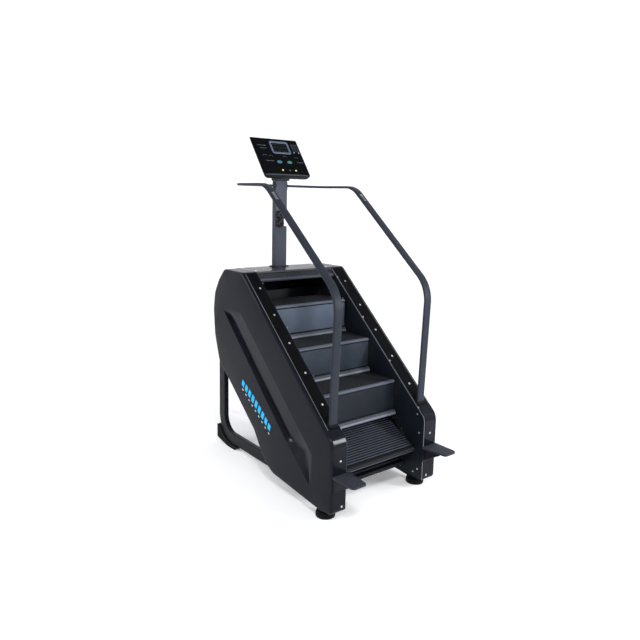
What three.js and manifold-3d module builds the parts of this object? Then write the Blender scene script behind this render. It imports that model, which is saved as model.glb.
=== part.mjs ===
// Stair climber: a revolving staircase between two covered side frames, with a mast, console and
// handrails. Millimetres, +Z up, +Y towards the console, +X to the climber's right.
// The origin is at floor level under the middle of the machine.
import * as THREE from 'three';
import { mergeVertices } from 'three/addons/utils/BufferGeometryUtils.js';
import Module from 'manifold-3d';

const wasm = await Module();
wasm.setup();

// ---------- driving dimensions ----------

const RISE = 217;                         // height of one step
const GOING = 245.6;                      // depth of one step
const SLOPE = Math.atan2(RISE, GOING);    // slope of the staircase
const PITCH = Math.hypot(RISE, GOING);    // distance between steps along the chain
const GAP = 0.3;                          // between touching pieces

// Widths, measured from the middle plane.
const TREAD_HALF = 278;
const CHAIN_IN = 284;
const CHAIN_OUT = 296;
const PANEL_IN = 302;
const PANEL_OUT = 305;
const COVER_IN = 306;
const COVER_OUT = 410;
const FRAME_IN = 306;
const FRAME_OUT = 346;

// Side outline.
const FRONT_Y = -620;
const HOUSING_BOTTOM = 58;
const TOP_Z = 1264;
const BEAM_TOP = 1250;                    // crossbeam that carries the mast
const SLOPE_Y = -165;                     // a point on the covers' sloped edge
const SLOPE_Z = 860;
const WALL = 4;                           // cover thickness
const COVER_EDGE = 15;                    // rounding of the covers' outer edge
const WINDOW_R = 6;                       // corners of the side frames' windows

// Stair geometry: the front edge of the second step, and the returning chain.
const NOSING_Y = -132.9;
const NOSING_Z = 851;
const TREAD_THICK = 22;
const TREAD_LAP = 19;                     // tread running on beneath the riser behind it
const RIB = 2;
const ROD_R = 7;                          // cross rod between the chains
const ROD_FROM_FOOT = 12;
const ROD_DROP = 43.3;
const BAR_R = 12;                         // hinge bar along a riser's foot
const SPROCKET_R = 105;                   // pitch radius
const CHAIN_DROP = 32.7;                  // chain below the step corners, measured vertically
const LOWER_Y = -385;                     // lower shaft
const STEP_COUNT = 9;
const SHAFT_R = 15;

// Lowest visible tread, which tips as it nears the lower sprockets.
const TIPPED_FRONT = [-575, 258];
const TIPPED_TILT = THREE.MathUtils.degToRad(26.5);

// Mast, console and handrails.
const MAST_W = 94;
const MAST_FRONT = 468;
const MAST_REAR = 508;
const MAST_TOP = 1835;
const RAIL_X = 341;
const RAIL_WIDE = 55;
const RAIL_THICK = 15;
const RAIL_TOP = 1802;
const RAIL_FOOT_Y = -535;
const RAIL_FOOT_Z = 478;
const CONSOLE_W = 375;
const CONSOLE_H = 311;
const CONSOLE_TILT = THREE.MathUtils.degToRad(36.4);
const CONSOLE_Y = 390;                    // lower front edge of the console
const CONSOLE_Z = 1862;
const CONSOLE_DEEP = 34;

// Drive.
const PULLEY_R = 112;
const SMALL_R = 27.5;                     // generator pulley
const BELT_IN = 366;
const BELT_OUT = 380;
const GENERATOR = [190, 690];
const GENERATOR_R = 78;
const GENERATOR_OUT = 361;

// Legs and feet.
const LEG_IN = 272;
const LEG_OUT = 305.7;
const LEG_DEEP = 75;
const LEG_REAR = 770;
const LEG_FRONT = -200;
const LEG_BEND = 110;
const LEG_TOP = 655;
const RAIL_BOTTOM = 30;
const FOOT_X = 355;
const FOOT_Y = -510;
const FOOT_R = 55;

// ---------- materials ----------

function finish(color, roughness, metalness) {
  return new THREE.MeshStandardMaterial({ color, roughness, metalness });
}

const COVER = finish(0x1b1c22, 0.42, 0.0);
const FRAME = finish(0x24252b, 0.55, 0.3);
const RAIL = finish(0x3d3e47, 0.6, 0.3);
const STEP = finish(0x3a3d47, 0.5, 0.2);
const STEEL = finish(0x9a9da3, 0.35, 1.0);
const ALLOY = finish(0xb4b7bc, 0.4, 1.0);
const RUBBER = finish(0x101114, 0.85, 0.0);
const CONSOLE = finish(0x0c0c0f, 0.3, 0.0);
const LENS = finish(0x1a2a3a, 0.1, 0.0);
const BUTTON = finish(0x2a8c8c, 0.4, 0.0);

// ---------- solids ----------

// Leaves only merged positions, so that the surface is closed.
function welded(geometry) {
  const plain = geometry.clone();
  for (const name of Object.keys(plain.attributes)) {
    if (name !== 'position') plain.deleteAttribute(name);
  }
  return mergeVertices(plain, 1e-3);
}

function toSolid(geometry) {
  const merged = welded(geometry);
  return new wasm.Manifold(new wasm.Mesh({
    numProp: 3,
    vertProperties: new Float32Array(merged.attributes.position.array),
    triVerts: new Uint32Array(merged.index.array),
  }));
}

function toGeometry(solid) {
  const mesh = solid.getMesh();
  const geometry = new THREE.BufferGeometry();
  geometry.setAttribute('position', new THREE.BufferAttribute(new Float32Array(mesh.vertProperties), 3));
  geometry.setIndex(new THREE.BufferAttribute(new Uint32Array(mesh.triVerts), 1));
  return geometry;
}

function join(...shapes) {
  return toGeometry(shapes.map(toSolid).reduce((whole, next) => whole.add(next)));
}

function cut(base, ...tools) {
  return toGeometry(tools.map(toSolid).reduce((whole, next) => whole.subtract(next), toSolid(base)));
}

function keep(base, region) {
  return toGeometry(toSolid(base).intersect(toSolid(region)));
}

// Reflects a shape from the +X side to the -X side.
function mirrored(geometry) {
  const copy = welded(geometry);
  copy.scale(-1, 1, 1);
  const index = copy.index.array;
  for (let i = 0; i < index.length; i += 3) {
    [index[i], index[i + 1]] = [index[i + 1], index[i]];
  }
  return copy;
}

// Box from its lowest and highest corner.
function box(x0, x1, y0, y1, z0, z1) {
  const geometry = new THREE.BoxGeometry(x1 - x0, y1 - y0, z1 - z0);
  return geometry.translate((x0 + x1) / 2, (y0 + y1) / 2, (z0 + z1) / 2);
}

// Outline through corner points [u, v, radius]; a radius rounds that corner.
function outline(corners) {
  const path = new THREE.Shape();
  const count = corners.length;
  corners.forEach(([u, v, radius = 0], i) => {
    const here = new THREE.Vector2(u, v);
    const before = new THREE.Vector2(...corners[(i + count - 1) % count].slice(0, 2));
    const after = new THREE.Vector2(...corners[(i + 1) % count].slice(0, 2));
    const inward = before.clone().sub(here).normalize();
    const outward = after.clone().sub(here).normalize();
    const half = Math.acos(THREE.MathUtils.clamp(inward.dot(outward), -1, 1)) / 2;
    const reach = radius > 0 ? radius / Math.tan(half) : 0;
    const start = here.clone().addScaledVector(inward, reach);
    if (i === 0) path.moveTo(start.x, start.y);
    else path.lineTo(start.x, start.y);
    if (reach > 0) {
      const end = here.clone().addScaledVector(outward, reach);
      path.quadraticCurveTo(here.x, here.y, end.x, end.y);
    }
  });
  path.closePath();
  return path;
}

// Extrudes an outline in the Y-Z plane from x0 to x1.
function across(shape, x0, x1, options = {}) {
  const geometry = new THREE.ExtrudeGeometry(shape, {
    depth: x1 - x0, bevelEnabled: false, curveSegments: 3, ...options,
  });
  const turn = new THREE.Matrix4().makeBasis(
    new THREE.Vector3(0, 1, 0), new THREE.Vector3(0, 0, 1), new THREE.Vector3(1, 0, 0));
  return geometry.applyMatrix4(turn).translate(x0, 0, 0);
}

function prism(corners, x0, x1, options) {
  return across(outline(corners), x0, x1, options);
}

// Extrudes an outline in the X-Y plane from z0 to z1.
function upward(shape, z0, z1) {
  const options = { depth: z1 - z0, bevelEnabled: false, curveSegments: 4 };
  const geometry = new THREE.ExtrudeGeometry(shape, options);
  return geometry.translate(0, 0, z0);
}

// Rod along X, Y or Z between two coordinates on that axis.
function rod(axis, radius, from, to, centre, sides = 20) {
  const geometry = new THREE.CylinderGeometry(radius, radius, to - from, sides);
  const middle = (from + to) / 2;
  if (axis === 'x') return geometry.rotateZ(Math.PI / 2).translate(middle, centre[0], centre[1]);
  if (axis === 'y') return geometry.translate(centre[0], middle, centre[1]);
  return geometry.rotateX(Math.PI / 2).translate(centre[0], centre[1], middle);
}

// Moves corner points inward by a distance, edge by edge.
function inset(corners, distance) {
  const count = corners.length;
  const edges = corners.map(([u, v], i) => {
    const [nu, nv] = corners[(i + 1) % count];
    const length = Math.hypot(nu - u, nv - v);
    const du = (nu - u) / length;
    const dv = (nv - v) / length;
    return { u: u - dv * distance, v: v + du * distance, du, dv };
  });
  return corners.map(([, , radius = 0], i) => {
    const a = edges[(i + count - 1) % count];
    const b = edges[i];
    const cross = a.du * b.dv - a.dv * b.du;
    const along = ((b.u - a.u) * b.dv - (b.v - a.v) * b.du) / cross;
    return [a.u + a.du * along, a.v + a.dv * along, Math.max(radius - distance, 0)];
  });
}

// ---------- positions on the staircase ----------

const DOWN = [-Math.cos(SLOPE), -Math.sin(SLOPE)];    // down the slope, in Y and Z
const OUT = [-Math.sin(SLOPE), Math.cos(SLOPE)];      // out of the slope, towards the climber

function slopeZ(y) {
  return SLOPE_Z + (y - SLOPE_Y) * Math.tan(SLOPE);
}

function slopeY(z) {
  return SLOPE_Y + (z - SLOPE_Z) / Math.tan(SLOPE);
}

// Front edge of a step; step 1 is the highest.
function nosing(step) {
  return [NOSING_Y - (step - 2) * GOING, NOSING_Z - (step - 2) * RISE];
}

// Foot of the riser under a step's front edge.
function riserFoot(step) {
  const [y, z] = nosing(step);
  return [y, z - RISE];
}

const chainZ = (y) => riserFoot(2)[1] + (y - NOSING_Y) * Math.tan(SLOPE) - CHAIN_DROP;
const LOWER_Z = chainZ(LOWER_Y) - SPROCKET_R / Math.cos(SLOPE);
const STRAIGHT = (STEP_COUNT * PITCH - 2 * Math.PI * SPROCKET_R) / 2;
const UPPER = [LOWER_Y - DOWN[0] * STRAIGHT, LOWER_Z - DOWN[1] * STRAIGHT];
const LOWER = [LOWER_Y, LOWER_Z];
const HALF_TURN = Math.PI * SPROCKET_R;

// Point on the chain loop, with its direction of travel and outward normal. The distance
// runs from the lower end of the climbing side, round the lower sprocket and up the back.
function onChain(distance) {
  const radius = SPROCKET_R;
  const turned = (centre, angle) => {
    const c = Math.cos(angle);
    const s = Math.sin(angle);
    const normal = [OUT[0] * c + DOWN[0] * s, OUT[1] * c + DOWN[1] * s];
    const travel = [-OUT[0] * s + DOWN[0] * c, -OUT[1] * s + DOWN[1] * c];
    return { at: [centre[0] + normal[0] * radius, centre[1] + normal[1] * radius], travel, normal };
  };
  if (distance < HALF_TURN) return turned(LOWER, distance / radius);
  if (distance > HALF_TURN + STRAIGHT) return turned(UPPER, (distance - STRAIGHT) / radius);
  const foot = turned(LOWER, Math.PI);
  const run = distance - HALF_TURN;
  return { ...foot, at: [foot.at[0] + foot.travel[0] * run, foot.at[1] + foot.travel[1] * run] };
}

// Places a profile, drawn with u along one direction and v along another, in the Y-Z plane.
function placed(corners, at, along, outward) {
  return corners.map(([u, v, radius = 0]) => [
    at[0] + along[0] * u + outward[0] * v,
    at[1] + along[1] * u + outward[1] * v,
    radius,
  ]);
}

// ---------- the object ----------

const machine = new THREE.Group();

function add(name, geometry, material) {
  const mesh = new THREE.Mesh(geometry, material);
  mesh.name = name;
  machine.add(mesh);
}

// Adds a piece and its reflection; the geometry is drawn for the +X side.
function addPair(name, geometry, material) {
  add(`${name}_right`, geometry, material);
  add(`${name}_left`, mirrored(geometry), material);
}

// ---------- covers and panels ----------

// Outline of a side cover, anticlockwise from the lower front corner.
const coverCorners = [
  [FRONT_Y, HOUSING_BOTTOM, 26],
  [-520, 46, 60],
  [-61, 86, 80],
  [3, 117, 60],
  [74, 185, 60],
  [152, 294, 60],
  [592, 648, 70],
  [648, 812, 200],
  [664, 985, 200],
  [646, 1100, 140],
  [590, 1192, 120],
  [521, TOP_Z, 36],
  [slopeY(TOP_Z), TOP_Z, 40],
  [FRONT_Y, slopeZ(FRONT_Y), 90],
];

// Prism whose outer edge, at x1, is rounded over.
function rounded(corners, x0, x1, bevel) {
  const body = prism(corners, x0 - 30, x1 - bevel, {
    bevelEnabled: true, bevelThickness: bevel, bevelSize: bevel, bevelOffset: -bevel, bevelSegments: 2,
  });
  return keep(body, box(x0, x1 + 1, -900, 900, 0, 1400));
}

function sideCover() {
  const solid = rounded(coverCorners, COVER_IN, COVER_OUT, COVER_EDGE);
  const hollow = rounded(inset(coverCorners, WALL), COVER_IN - 1, COVER_OUT - WALL, COVER_EDGE - WALL / 2);
  const footHole = rod('z', 11, 0, 100, [FOOT_X, FOOT_Y], 16);
  return cut(solid, hollow, railSlot(), footHole);
}

// Inner panel beside the stairs. Its upper rear edge runs parallel to the stairs.
function innerPanel() {
  const reach = 500;
  const beamFront = 448;
  const lowerEdge = (y) => slopeZ(y) - 312;
  const sheet = prism([
    [FRONT_Y + 6, HOUSING_BOTTOM + 2, 8],
    [-250, HOUSING_BOTTOM + 2],
    [-215, 125],
    [120, 360],
    [120, lowerEdge(120)],
    [reach, lowerEdge(reach)],
    [reach, BEAM_TOP - 55],
    [beamFront, BEAM_TOP - 55],
    [beamFront, TOP_Z - 8],
    [slopeY(TOP_Z) + 6, TOP_Z - 8, 10],
    [FRONT_Y + 6, slopeZ(FRONT_Y) - 8, 26],
  ], PANEL_IN, PANEL_OUT);
  return cut(sheet, rod('x', 34, PANEL_IN - 5, PANEL_OUT + 5, LOWER));
}

// Plate that follows a run of points in the Y-Z plane, with one thickness.
function bentPlate(points, thickness, x0, x1) {
  const back = points.slice().reverse().map(([y, z], i, all) => {
    const [py, pz] = all[Math.max(i - 1, 0)];
    const [ny, nz] = all[Math.min(i + 1, all.length - 1)];
    const length = Math.hypot(ny - py, nz - pz);
    return [y + ((nz - pz) / length) * thickness, z - ((ny - py) / length) * thickness];
  });
  return prism([...points, ...back], x0, x1);
}

function topPanel() {
  const front = slopeY(TOP_Z) - 4;
  const sheet = prism([
    [front, TOP_Z - 12, 3], [front + 4, TOP_Z - 12], [front + 4, TOP_Z - 4],
    [526, TOP_Z - 4], [530, TOP_Z, 2],
    [front, TOP_Z, 4],
  ], -PANEL_OUT, PANEL_OUT);
  const mastHole = box(-MAST_W / 2 - 2, MAST_W / 2 + 2, MAST_FRONT - 2, MAST_REAR + 2, 1200, 1300);
  return cut(sheet, mastHole);
}

function headerBeam() {
  const front = slopeY(TOP_Z) - 34;
  const bar = prism([
    [front + 10, 1216], [front + 46, 1216], [front + 46, TOP_Z - 14], [front + 28, TOP_Z - 14],
  ], -PANEL_IN + 1, PANEL_IN - 1);
  const lip = rod('x', 13, -PANEL_IN + 1, PANEL_IN - 1, [front + 16, 1212], 16);
  return join(bar, lip);
}

function rearPanel() {
  const points = [[530, 1256], [592, 1190], [636, 1100], [650, 1000], [646, 880], [628, 760], [592, 660]];
  const sheet = bentPlate(points, 4, -PANEL_OUT, PANEL_OUT);
  const slots = [];
  for (let row = 0; row < 6; row += 1) {
    const z = 1040 - row * 34;
    slots.push(box(-150, 150, 560, 700, z, z + 12));
  }
  return cut(sheet, ...slots);
}

// ---------- frame ----------

// Clearance for the foot of a handrail, through the cover and into the side frame.
function railSlot() {
  return box(RAIL_X - 29, RAIL_X + 29, RAIL_FOOT_Y - 13, RAIL_FOOT_Y + 11, RAIL_FOOT_Z - 6, 640);
}

// Steel side frame: a ring with cross members that carry the bearings and the drive.
function sideFrame() {
  const plate = prism(inset(coverCorners, 20), FRAME_IN, FRAME_OUT);
  const windows = [
    [-560, -450, 120, 300],
    [-280, 0, 170, 400],
    [-240, -120, 450, 600],
    [-80, 50, 580, 790],
    [310, 390, 600, 850],
    [440, 550, 690, 860],
    [380, 520, 1110, 1185],
  ].map(([y0, y1, z0, z1]) => prism([
    [y0, z0, WINDOW_R], [y1, z0, WINDOW_R], [y1, z1, WINDOW_R], [y0, z1, WINDOW_R],
  ], FRAME_IN - 5, FRAME_OUT + 5));
  const bores = [[LOWER, 24], [UPPER, 24], [GENERATOR, GENERATOR_R + 3]].map(([centre, radius]) => (
    rod('x', radius, FRAME_IN - 5, FRAME_OUT + 5, centre, 24)));
  const footPlate = box(FRAME_OUT - 10, FOOT_X + 22, FOOT_Y - 35, FOOT_Y + 35, 72, 92);
  const footBore = rod('z', 8, 0, 140, [FOOT_X, FOOT_Y], 12);
  return cut(join(plate, footPlate), ...windows, ...bores, railSlot(), footBore);
}

// Outline of the bent tube that runs along the floor, up behind the cover and into the side frame.
function legOutline(grow) {
  const y0 = LEG_REAR - LEG_DEEP;
  const z0 = RAIL_BOTTOM;
  const z1 = RAIL_BOTTOM + LEG_DEEP;
  return [
    [LEG_FRONT, z0 - grow], [LEG_REAR + grow, z0 - grow, LEG_BEND + LEG_DEEP + grow],
    [LEG_REAR + grow, LEG_TOP, 30], [470, LEG_TOP], [470, LEG_TOP - 62], [y0, LEG_TOP - 62, 10],
    [y0, z1, LEG_BEND], [LEG_FRONT, z1],
  ];
}

function rearLeg() {
  return prism(legOutline(0), LEG_IN, LEG_OUT);
}

// Wedge under the rear bend that meets the floor.
function rearShoe() {
  const block = prism([
    [520, RAIL_BOTTOM + 4], [548, 0], [648, 0], [785, 26, 8], [785, 122], [740, 122], [560, 40],
  ], LEG_IN - 6, LEG_OUT + 10);
  return cut(block, prism(legOutline(GAP), LEG_IN - 20, LEG_OUT + 20));
}

// Rubber pad on a threaded stem that screws into the side frame.
function frontFoot() {
  const pad = new THREE.LatheGeometry([
    new THREE.Vector2(0, 0), new THREE.Vector2(FOOT_R - 4, 0), new THREE.Vector2(FOOT_R, 8),
    new THREE.Vector2(FOOT_R - 2, 30), new THREE.Vector2(18, 44), new THREE.Vector2(7.5, 44),
    new THREE.Vector2(7.5, 120), new THREE.Vector2(0, 120),
  ], 20);
  return pad.rotateX(Math.PI / 2).translate(FOOT_X, FOOT_Y, 0);
}

// Small step in front of each cover for getting on and off.
function mountingStep() {
  const back = FRONT_Y - GAP;
  const tip = -785;
  const plate = outline([
    [284, back], [304, tip, 20], [404, tip, 24], [404, back],
  ]);
  const top = upward(plate, 268, 280);
  const gussets = [300, 392].map((x) => prism([
    [back, 190], [back, 270], [tip + 40, 270], [tip + 40, 262],
  ], x, x + 6));
  const flange = box(288, 400, back - 6, back, 186, 272);
  return join(top, flange, ...gussets);
}

// ---------- stairs ----------

// Tread profile: u from the riser behind to the rounded front edge, v up from the walking surface.
function treadProfile() {
  const ribs = 17;
  const first = 8;
  const spacing = (GOING - 24 - first) / ribs;
  const corners = [[-TREAD_LAP, -TREAD_THICK], [-TREAD_LAP, -RIB]];
  for (let i = 0; i < ribs; i += 1) {
    const u = first + i * spacing;
    corners.push([u, -RIB], [u + 1, 0], [u + spacing * 0.55, 0], [u + spacing * 0.55 + 1, -RIB]);
  }
  const front = GOING - 20;
  corners.push([front, -RIB], [front + 1, 0], [GOING, 0, 10.5], [GOING, -TREAD_THICK, 10.5]);
  return corners;
}

// One tread, with a cross rod that joins the two chains under its back edge.
function tread(origin, along, upwards) {
  const at = (corners) => placed(corners, origin, along, upwards);
  const plate = prism(at(treadProfile()), -TREAD_HALF, TREAD_HALF);
  const lug = prism(at([
    [-4, 1 - TREAD_THICK], [4, -ROD_DROP - 4], [20, -ROD_DROP - 4], [28, 1 - TREAD_THICK],
  ]), -TREAD_HALF + 20, TREAD_HALF - 20);
  const [centre] = at([[ROD_FROM_FOOT, -ROD_DROP]]);
  return join(plate, lug, rod('x', ROD_R, -CHAIN_IN + 0.5, CHAIN_IN - 0.5, centre, 12));
}

// Riser with the hinge bar along its foot.
function riser([y, top], [, foot]) {
  const under = top - TREAD_THICK - 1;
  const panel = prism([
    [y + 4, foot + 32], [y + 8, foot + 32], [y + 8, foot + 1.5], [y + 13, foot + 1.5],
    [y + 13, under], [y + 4, under],
  ], -TREAD_HALF, TREAD_HALF);
  const web = box(-TREAD_HALF, TREAD_HALF, y - 12, y + 10, foot + 10, foot + 15);
  const bar = rod('x', BAR_R, -TREAD_HALF, TREAD_HALF, [y - 12, foot + 13.5], 16);
  return join(panel, web, bar);
}

// Riser of the lowest tread, folded back underneath it.
function foldedRiser(origin, along, upwards) {
  const at = (corners) => placed(corners, origin, along, upwards);
  const panel = prism(at([
    [50, -50], [GOING - 4, -TREAD_THICK - 1], [GOING - 6, -TREAD_THICK - 10], [50, -59],
  ]), -TREAD_HALF, TREAD_HALF);
  const [centre] = at([[50, -55]]);
  return join(panel, rod('x', BAR_R, -TREAD_HALF, TREAD_HALF, centre, 16));
}

// Step on the returning side: the tread flat on the chain with its riser folded against it.
const RETURN_TRIM = 18;                   // each end of a returning step stops this far short
function returningStep(distance) {
  const { at, travel, normal } = onChain(distance);
  const half = GOING / 2 - RETURN_TRIM;
  const body = prism(placed([
    [-half, 11], [half - 4, 11, 4], [half, -24, 4], [-half + 26, -24], [-half + 26, -15],
    [half - 14, -15], [half - 14, -9], [-half, -9],
  ], at, travel, normal), -TREAD_HALF, TREAD_HALF);
  return join(body, rod('x', ROD_R, -CHAIN_IN + 0.5, CHAIN_IN - 0.5, at, 12));
}

function sprocket(centre) {
  const teeth = 20;
  const rim = SPROCKET_R - 8;
  const shape = new THREE.Shape();
  for (let i = 0; i < teeth; i += 1) {
    for (const [part, radius] of [[0, rim - 8], [0.4, rim - 8], [0.7, rim]]) {
      const angle = ((i + part) / teeth) * 2 * Math.PI;
      const y = centre[0] + radius * Math.cos(angle);
      const z = centre[1] + radius * Math.sin(angle);
      if (i === 0 && part === 0) shape.moveTo(y, z);
      else shape.lineTo(y, z);
    }
  }
  shape.closePath();
  const plate = across(shape, CHAIN_IN + 2, CHAIN_OUT - 2);
  const hub = rod('x', 28, CHAIN_IN - 4, CHAIN_OUT - 2, centre);
  const holes = [];
  for (let i = 0; i < 5; i += 1) {
    const angle = (i / 5) * 2 * Math.PI;
    const at = [centre[0] + 58 * Math.cos(angle), centre[1] + 58 * Math.sin(angle)];
    holes.push(rod('x', 17, 200, 400, at, 10));
  }
  return cut(join(plate, hub), ...holes);
}

// Upper sprockets are keyed to a separate shaft.
function boredSprocket(centre) {
  return cut(sprocket(centre), rod('x', SHAFT_R + GAP, 200, 400, centre));
}

// Closed belt or chain round two wheels, each given as its centre and the band's inner radius.
function loop([first, r1], [second, r2], thick, x0, x1) {
  const band = (offset, path) => {
    const dy = second[0] - first[0];
    const dz = second[1] - first[1];
    const heading = Math.atan2(dz, dy);
    const lean = Math.acos((r1 - r2) / Math.hypot(dy, dz));
    path.absarc(first[0], first[1], r1 + offset, heading + lean, heading - lean + 2 * Math.PI, false);
    path.absarc(second[0], second[1], r2 + offset, heading - lean, heading + lean, false);
    path.closePath();
    return path;
  };
  const shape = band(thick, new THREE.Shape());
  shape.holes.push(band(0, new THREE.Path()));
  return across(shape, x0, x1, { curveSegments: 10 });
}

function shaft(centre, x1) {
  return rod('x', SHAFT_R, -366, x1, centre);
}

// Flange bearing bolted to the outside of a side frame.
function bearing(centre) {
  const x = FRAME_OUT + GAP;
  const flange = across(outline([
    [centre[0] - 48, centre[1] - 48, 18], [centre[0] + 48, centre[1] - 48, 18],
    [centre[0] + 48, centre[1] + 48, 18], [centre[0] - 48, centre[1] + 48, 18],
  ]), x, x + 9);
  const boss = rod('x', 32, x, x + 16, centre);
  return cut(join(flange, boss), rod('x', SHAFT_R + GAP, 300, 400, centre));
}

// ---------- drive ----------

function drivePulley() {
  const disc = rod('x', PULLEY_R, BELT_IN, BELT_OUT, UPPER, 28);
  const rim = cut(disc, rod('x', PULLEY_R - 10, BELT_IN - 5, BELT_OUT + 5, UPPER, 28));
  const web = rod('x', PULLEY_R - 5, BELT_IN + 5, BELT_IN + 9, UPPER, 28);
  const hub = rod('x', 26, BELT_IN - 2, BELT_OUT, UPPER);
  return cut(join(rim, web, hub), rod('x', SHAFT_R + GAP, 300, 420, UPPER));
}

function generatorPulley() {
  const pulley = rod('x', SMALL_R, BELT_IN, BELT_OUT, GENERATOR, 24);
  return join(pulley, rod('x', 9, GENERATOR_OUT + GAP, BELT_IN + 1, GENERATOR, 12));
}

function driveBelt() {
  const slack = 0.6;
  return loop([GENERATOR, SMALL_R + slack], [UPPER, PULLEY_R + slack], 4, BELT_IN + 2, BELT_OUT - 2);
}

// Generator body, sunk in the right side frame and held by its flange.
function generator() {
  const body = rod('x', GENERATOR_R, FRAME_IN + 8, GENERATOR_OUT, GENERATOR, 32);
  const flange = rod('x', GENERATOR_R + 14, FRAME_OUT + GAP, FRAME_OUT + 5, GENERATOR, 32);
  return join(body, flange);
}

function controlBox() {
  const shell = box(-384, -FRAME_OUT - 6, -210, -30, 480, 640);
  const lugs = [-218, -42].map((y) => box(-FRAME_OUT - 8, -FRAME_OUT - GAP, y, y + 20, 410, 650));
  return join(shell, ...lugs);
}

// ---------- mast, rails and console ----------

function mast() {
  const half = MAST_W / 2;
  const tube = box(-half, half, MAST_FRONT, MAST_REAR, BEAM_TOP + GAP, MAST_TOP);
  const collar = box(-half - 26, half + 26, MAST_FRONT - 14, MAST_REAR + 14, TOP_Z + GAP, TOP_Z + 7);
  const bore = box(-half + 3, half - 3, MAST_FRONT + 3, MAST_REAR - 3, 1200, MAST_TOP + 10);
  const notch = box(-10, half + 5, MAST_FRONT - 5, MAST_REAR - 3, 1535, 1605);
  return cut(join(tube, collar), bore, notch);
}

// Lobed hand knob on the front of the mast, with its stud through the front wall.
function starKnob(z) {
  const lobes = 7;
  const shape = new THREE.Shape();
  const steps = lobes * 4;
  const centre = [-22, z];
  for (let i = 0; i < steps; i += 1) {
    const angle = (i / steps) * 2 * Math.PI;
    const radius = 22.5 + 2 * Math.cos(lobes * angle);
    const x = centre[0] + radius * Math.cos(angle);
    const y = centre[1] + radius * Math.sin(angle);
    if (i === 0) shape.moveTo(x, y);
    else shape.lineTo(x, y);
  }
  shape.closePath();
  const head = new THREE.ExtrudeGeometry(shape, {
    depth: 20, bevelEnabled: true, bevelThickness: 2.5, bevelSize: 2.5, bevelSegments: 1,
  });
  head.rotateX(Math.PI / 2).translate(0, MAST_FRONT - 9, 0);
  return join(head, rod('y', 9, MAST_FRONT - 10, MAST_FRONT - GAP, centre, 16));
}

// Straight and curved stretches of a handrail's centre line, for the +X side.
function railPath() {
  const foot = new THREE.Vector3(RAIL_X, RAIL_FOOT_Y, RAIL_FOOT_Z);
  const low = new THREE.Vector3(RAIL_X, -559, 1231);
  const high = new THREE.Vector3(RAIL_X, 126, RAIL_TOP);
  const corner = new THREE.Vector3(RAIL_X, 480, RAIL_TOP);
  const end = new THREE.Vector3(MAST_W / 2 + GAP, 480, RAIL_TOP);
  const reaches = [0, 95, 65, 92, 0];
  const points = [foot, low, high, corner, end];
  const path = new THREE.CurvePath();
  let from = foot;
  for (let i = 1; i < points.length - 1; i += 1) {
    const here = points[i];
    const before = here.clone().add(points[i - 1].clone().sub(here).setLength(reaches[i]));
    const after = here.clone().add(points[i + 1].clone().sub(here).setLength(reaches[i]));
    path.add(new THREE.LineCurve3(from, before));
    path.add(new THREE.QuadraticBezierCurve3(before, here, after));
    from = after;
  }
  path.add(new THREE.LineCurve3(from, end));
  return path;
}

// Flat-oval tube, wide across the machine.
function handrail() {
  const half = RAIL_WIDE / 2 - RAIL_THICK / 2;
  const section = new THREE.Shape();
  section.absarc(half, 0, RAIL_THICK / 2, -Math.PI / 2, Math.PI / 2, false);
  section.absarc(-half, 0, RAIL_THICK / 2, Math.PI / 2, (3 * Math.PI) / 2, false);
  section.closePath();
  return new THREE.ExtrudeGeometry(section, {
    steps: 62, bevelEnabled: false, curveSegments: 3, extrudePath: railPath(),
  });
}

const FACE_UP = [Math.sin(CONSOLE_TILT), Math.cos(CONSOLE_TILT)];
const FACE_OUT = [-Math.cos(CONSOLE_TILT), Math.sin(CONSOLE_TILT)];

// Turns a shape drawn flat (x across, y up the face, z out of the face) onto the console's face.
function onFace(geometry) {
  const turn = new THREE.Matrix4().makeBasis(
    new THREE.Vector3(1, 0, 0),
    new THREE.Vector3(0, FACE_UP[0], FACE_UP[1]),
    new THREE.Vector3(0, FACE_OUT[0], FACE_OUT[1]));
  turn.setPosition(0, CONSOLE_Y, CONSOLE_Z);
  return geometry.applyMatrix4(turn);
}

function facePlate(x0, x1, y0, y1, z0, z1, radius) {
  const shape = outline([[x0, y0, radius], [x1, y0, radius], [x1, y1, radius], [x0, y1, radius]]);
  return upward(shape, z0, z1);
}

function ovalShape(x, y, rx, ry) {
  const shape = new THREE.Shape();
  shape.absellipse(x, y, rx, ry, 0, 2 * Math.PI, false);
  return shape;
}

// Places on the console's face: x across, y up from its lower edge.
const SCREEN = { x0: -46, x1: 58, y0: 176, y1: 282 };
const START = [-22, 118];
const STOP = [58, 118];

function consoleHousing() {
  const half = CONSOLE_W / 2;
  const shape = outline([
    [-half, 0, 24], [half, 0, 24], [half, CONSOLE_H, 10], [-half, CONSOLE_H, 10],
  ]);
  const options = { depth: CONSOLE_DEEP, bevelEnabled: false, curveSegments: 5 };
  const shell = new THREE.ExtrudeGeometry(shape, options);
  shell.translate(0, 0, -CONSOLE_DEEP);
  const room = facePlate(-half + 6, half - 6, 8, CONSOLE_H - 8, -CONSOLE_DEEP + 4, 5, 8);
  const ledge = facePlate(-half + 14, half - 14, 4, 12, -6, 16, 3);
  return onFace(join(cut(shell, room), ledge));
}

function consoleFascia() {
  const half = CONSOLE_W / 2 - 6 - GAP;
  const plate = facePlate(-half, half, 12 + GAP, CONSOLE_H - 8 - GAP, -6, -1, 7);
  const screen = facePlate(SCREEN.x0, SCREEN.x1, SCREEN.y0, SCREEN.y1, -20, 10, 8);
  const holes = [START, STOP].map(([x, y]) => upward(ovalShape(x, y, 19, 11), -20, 10));
  return onFace(cut(plate, screen, ...holes));
}

function displayScreen() {
  return onFace(facePlate(SCREEN.x0 + GAP, SCREEN.x1 - GAP, SCREEN.y0 + GAP, SCREEN.y1 - GAP, -14, 1, 8));
}

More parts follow.
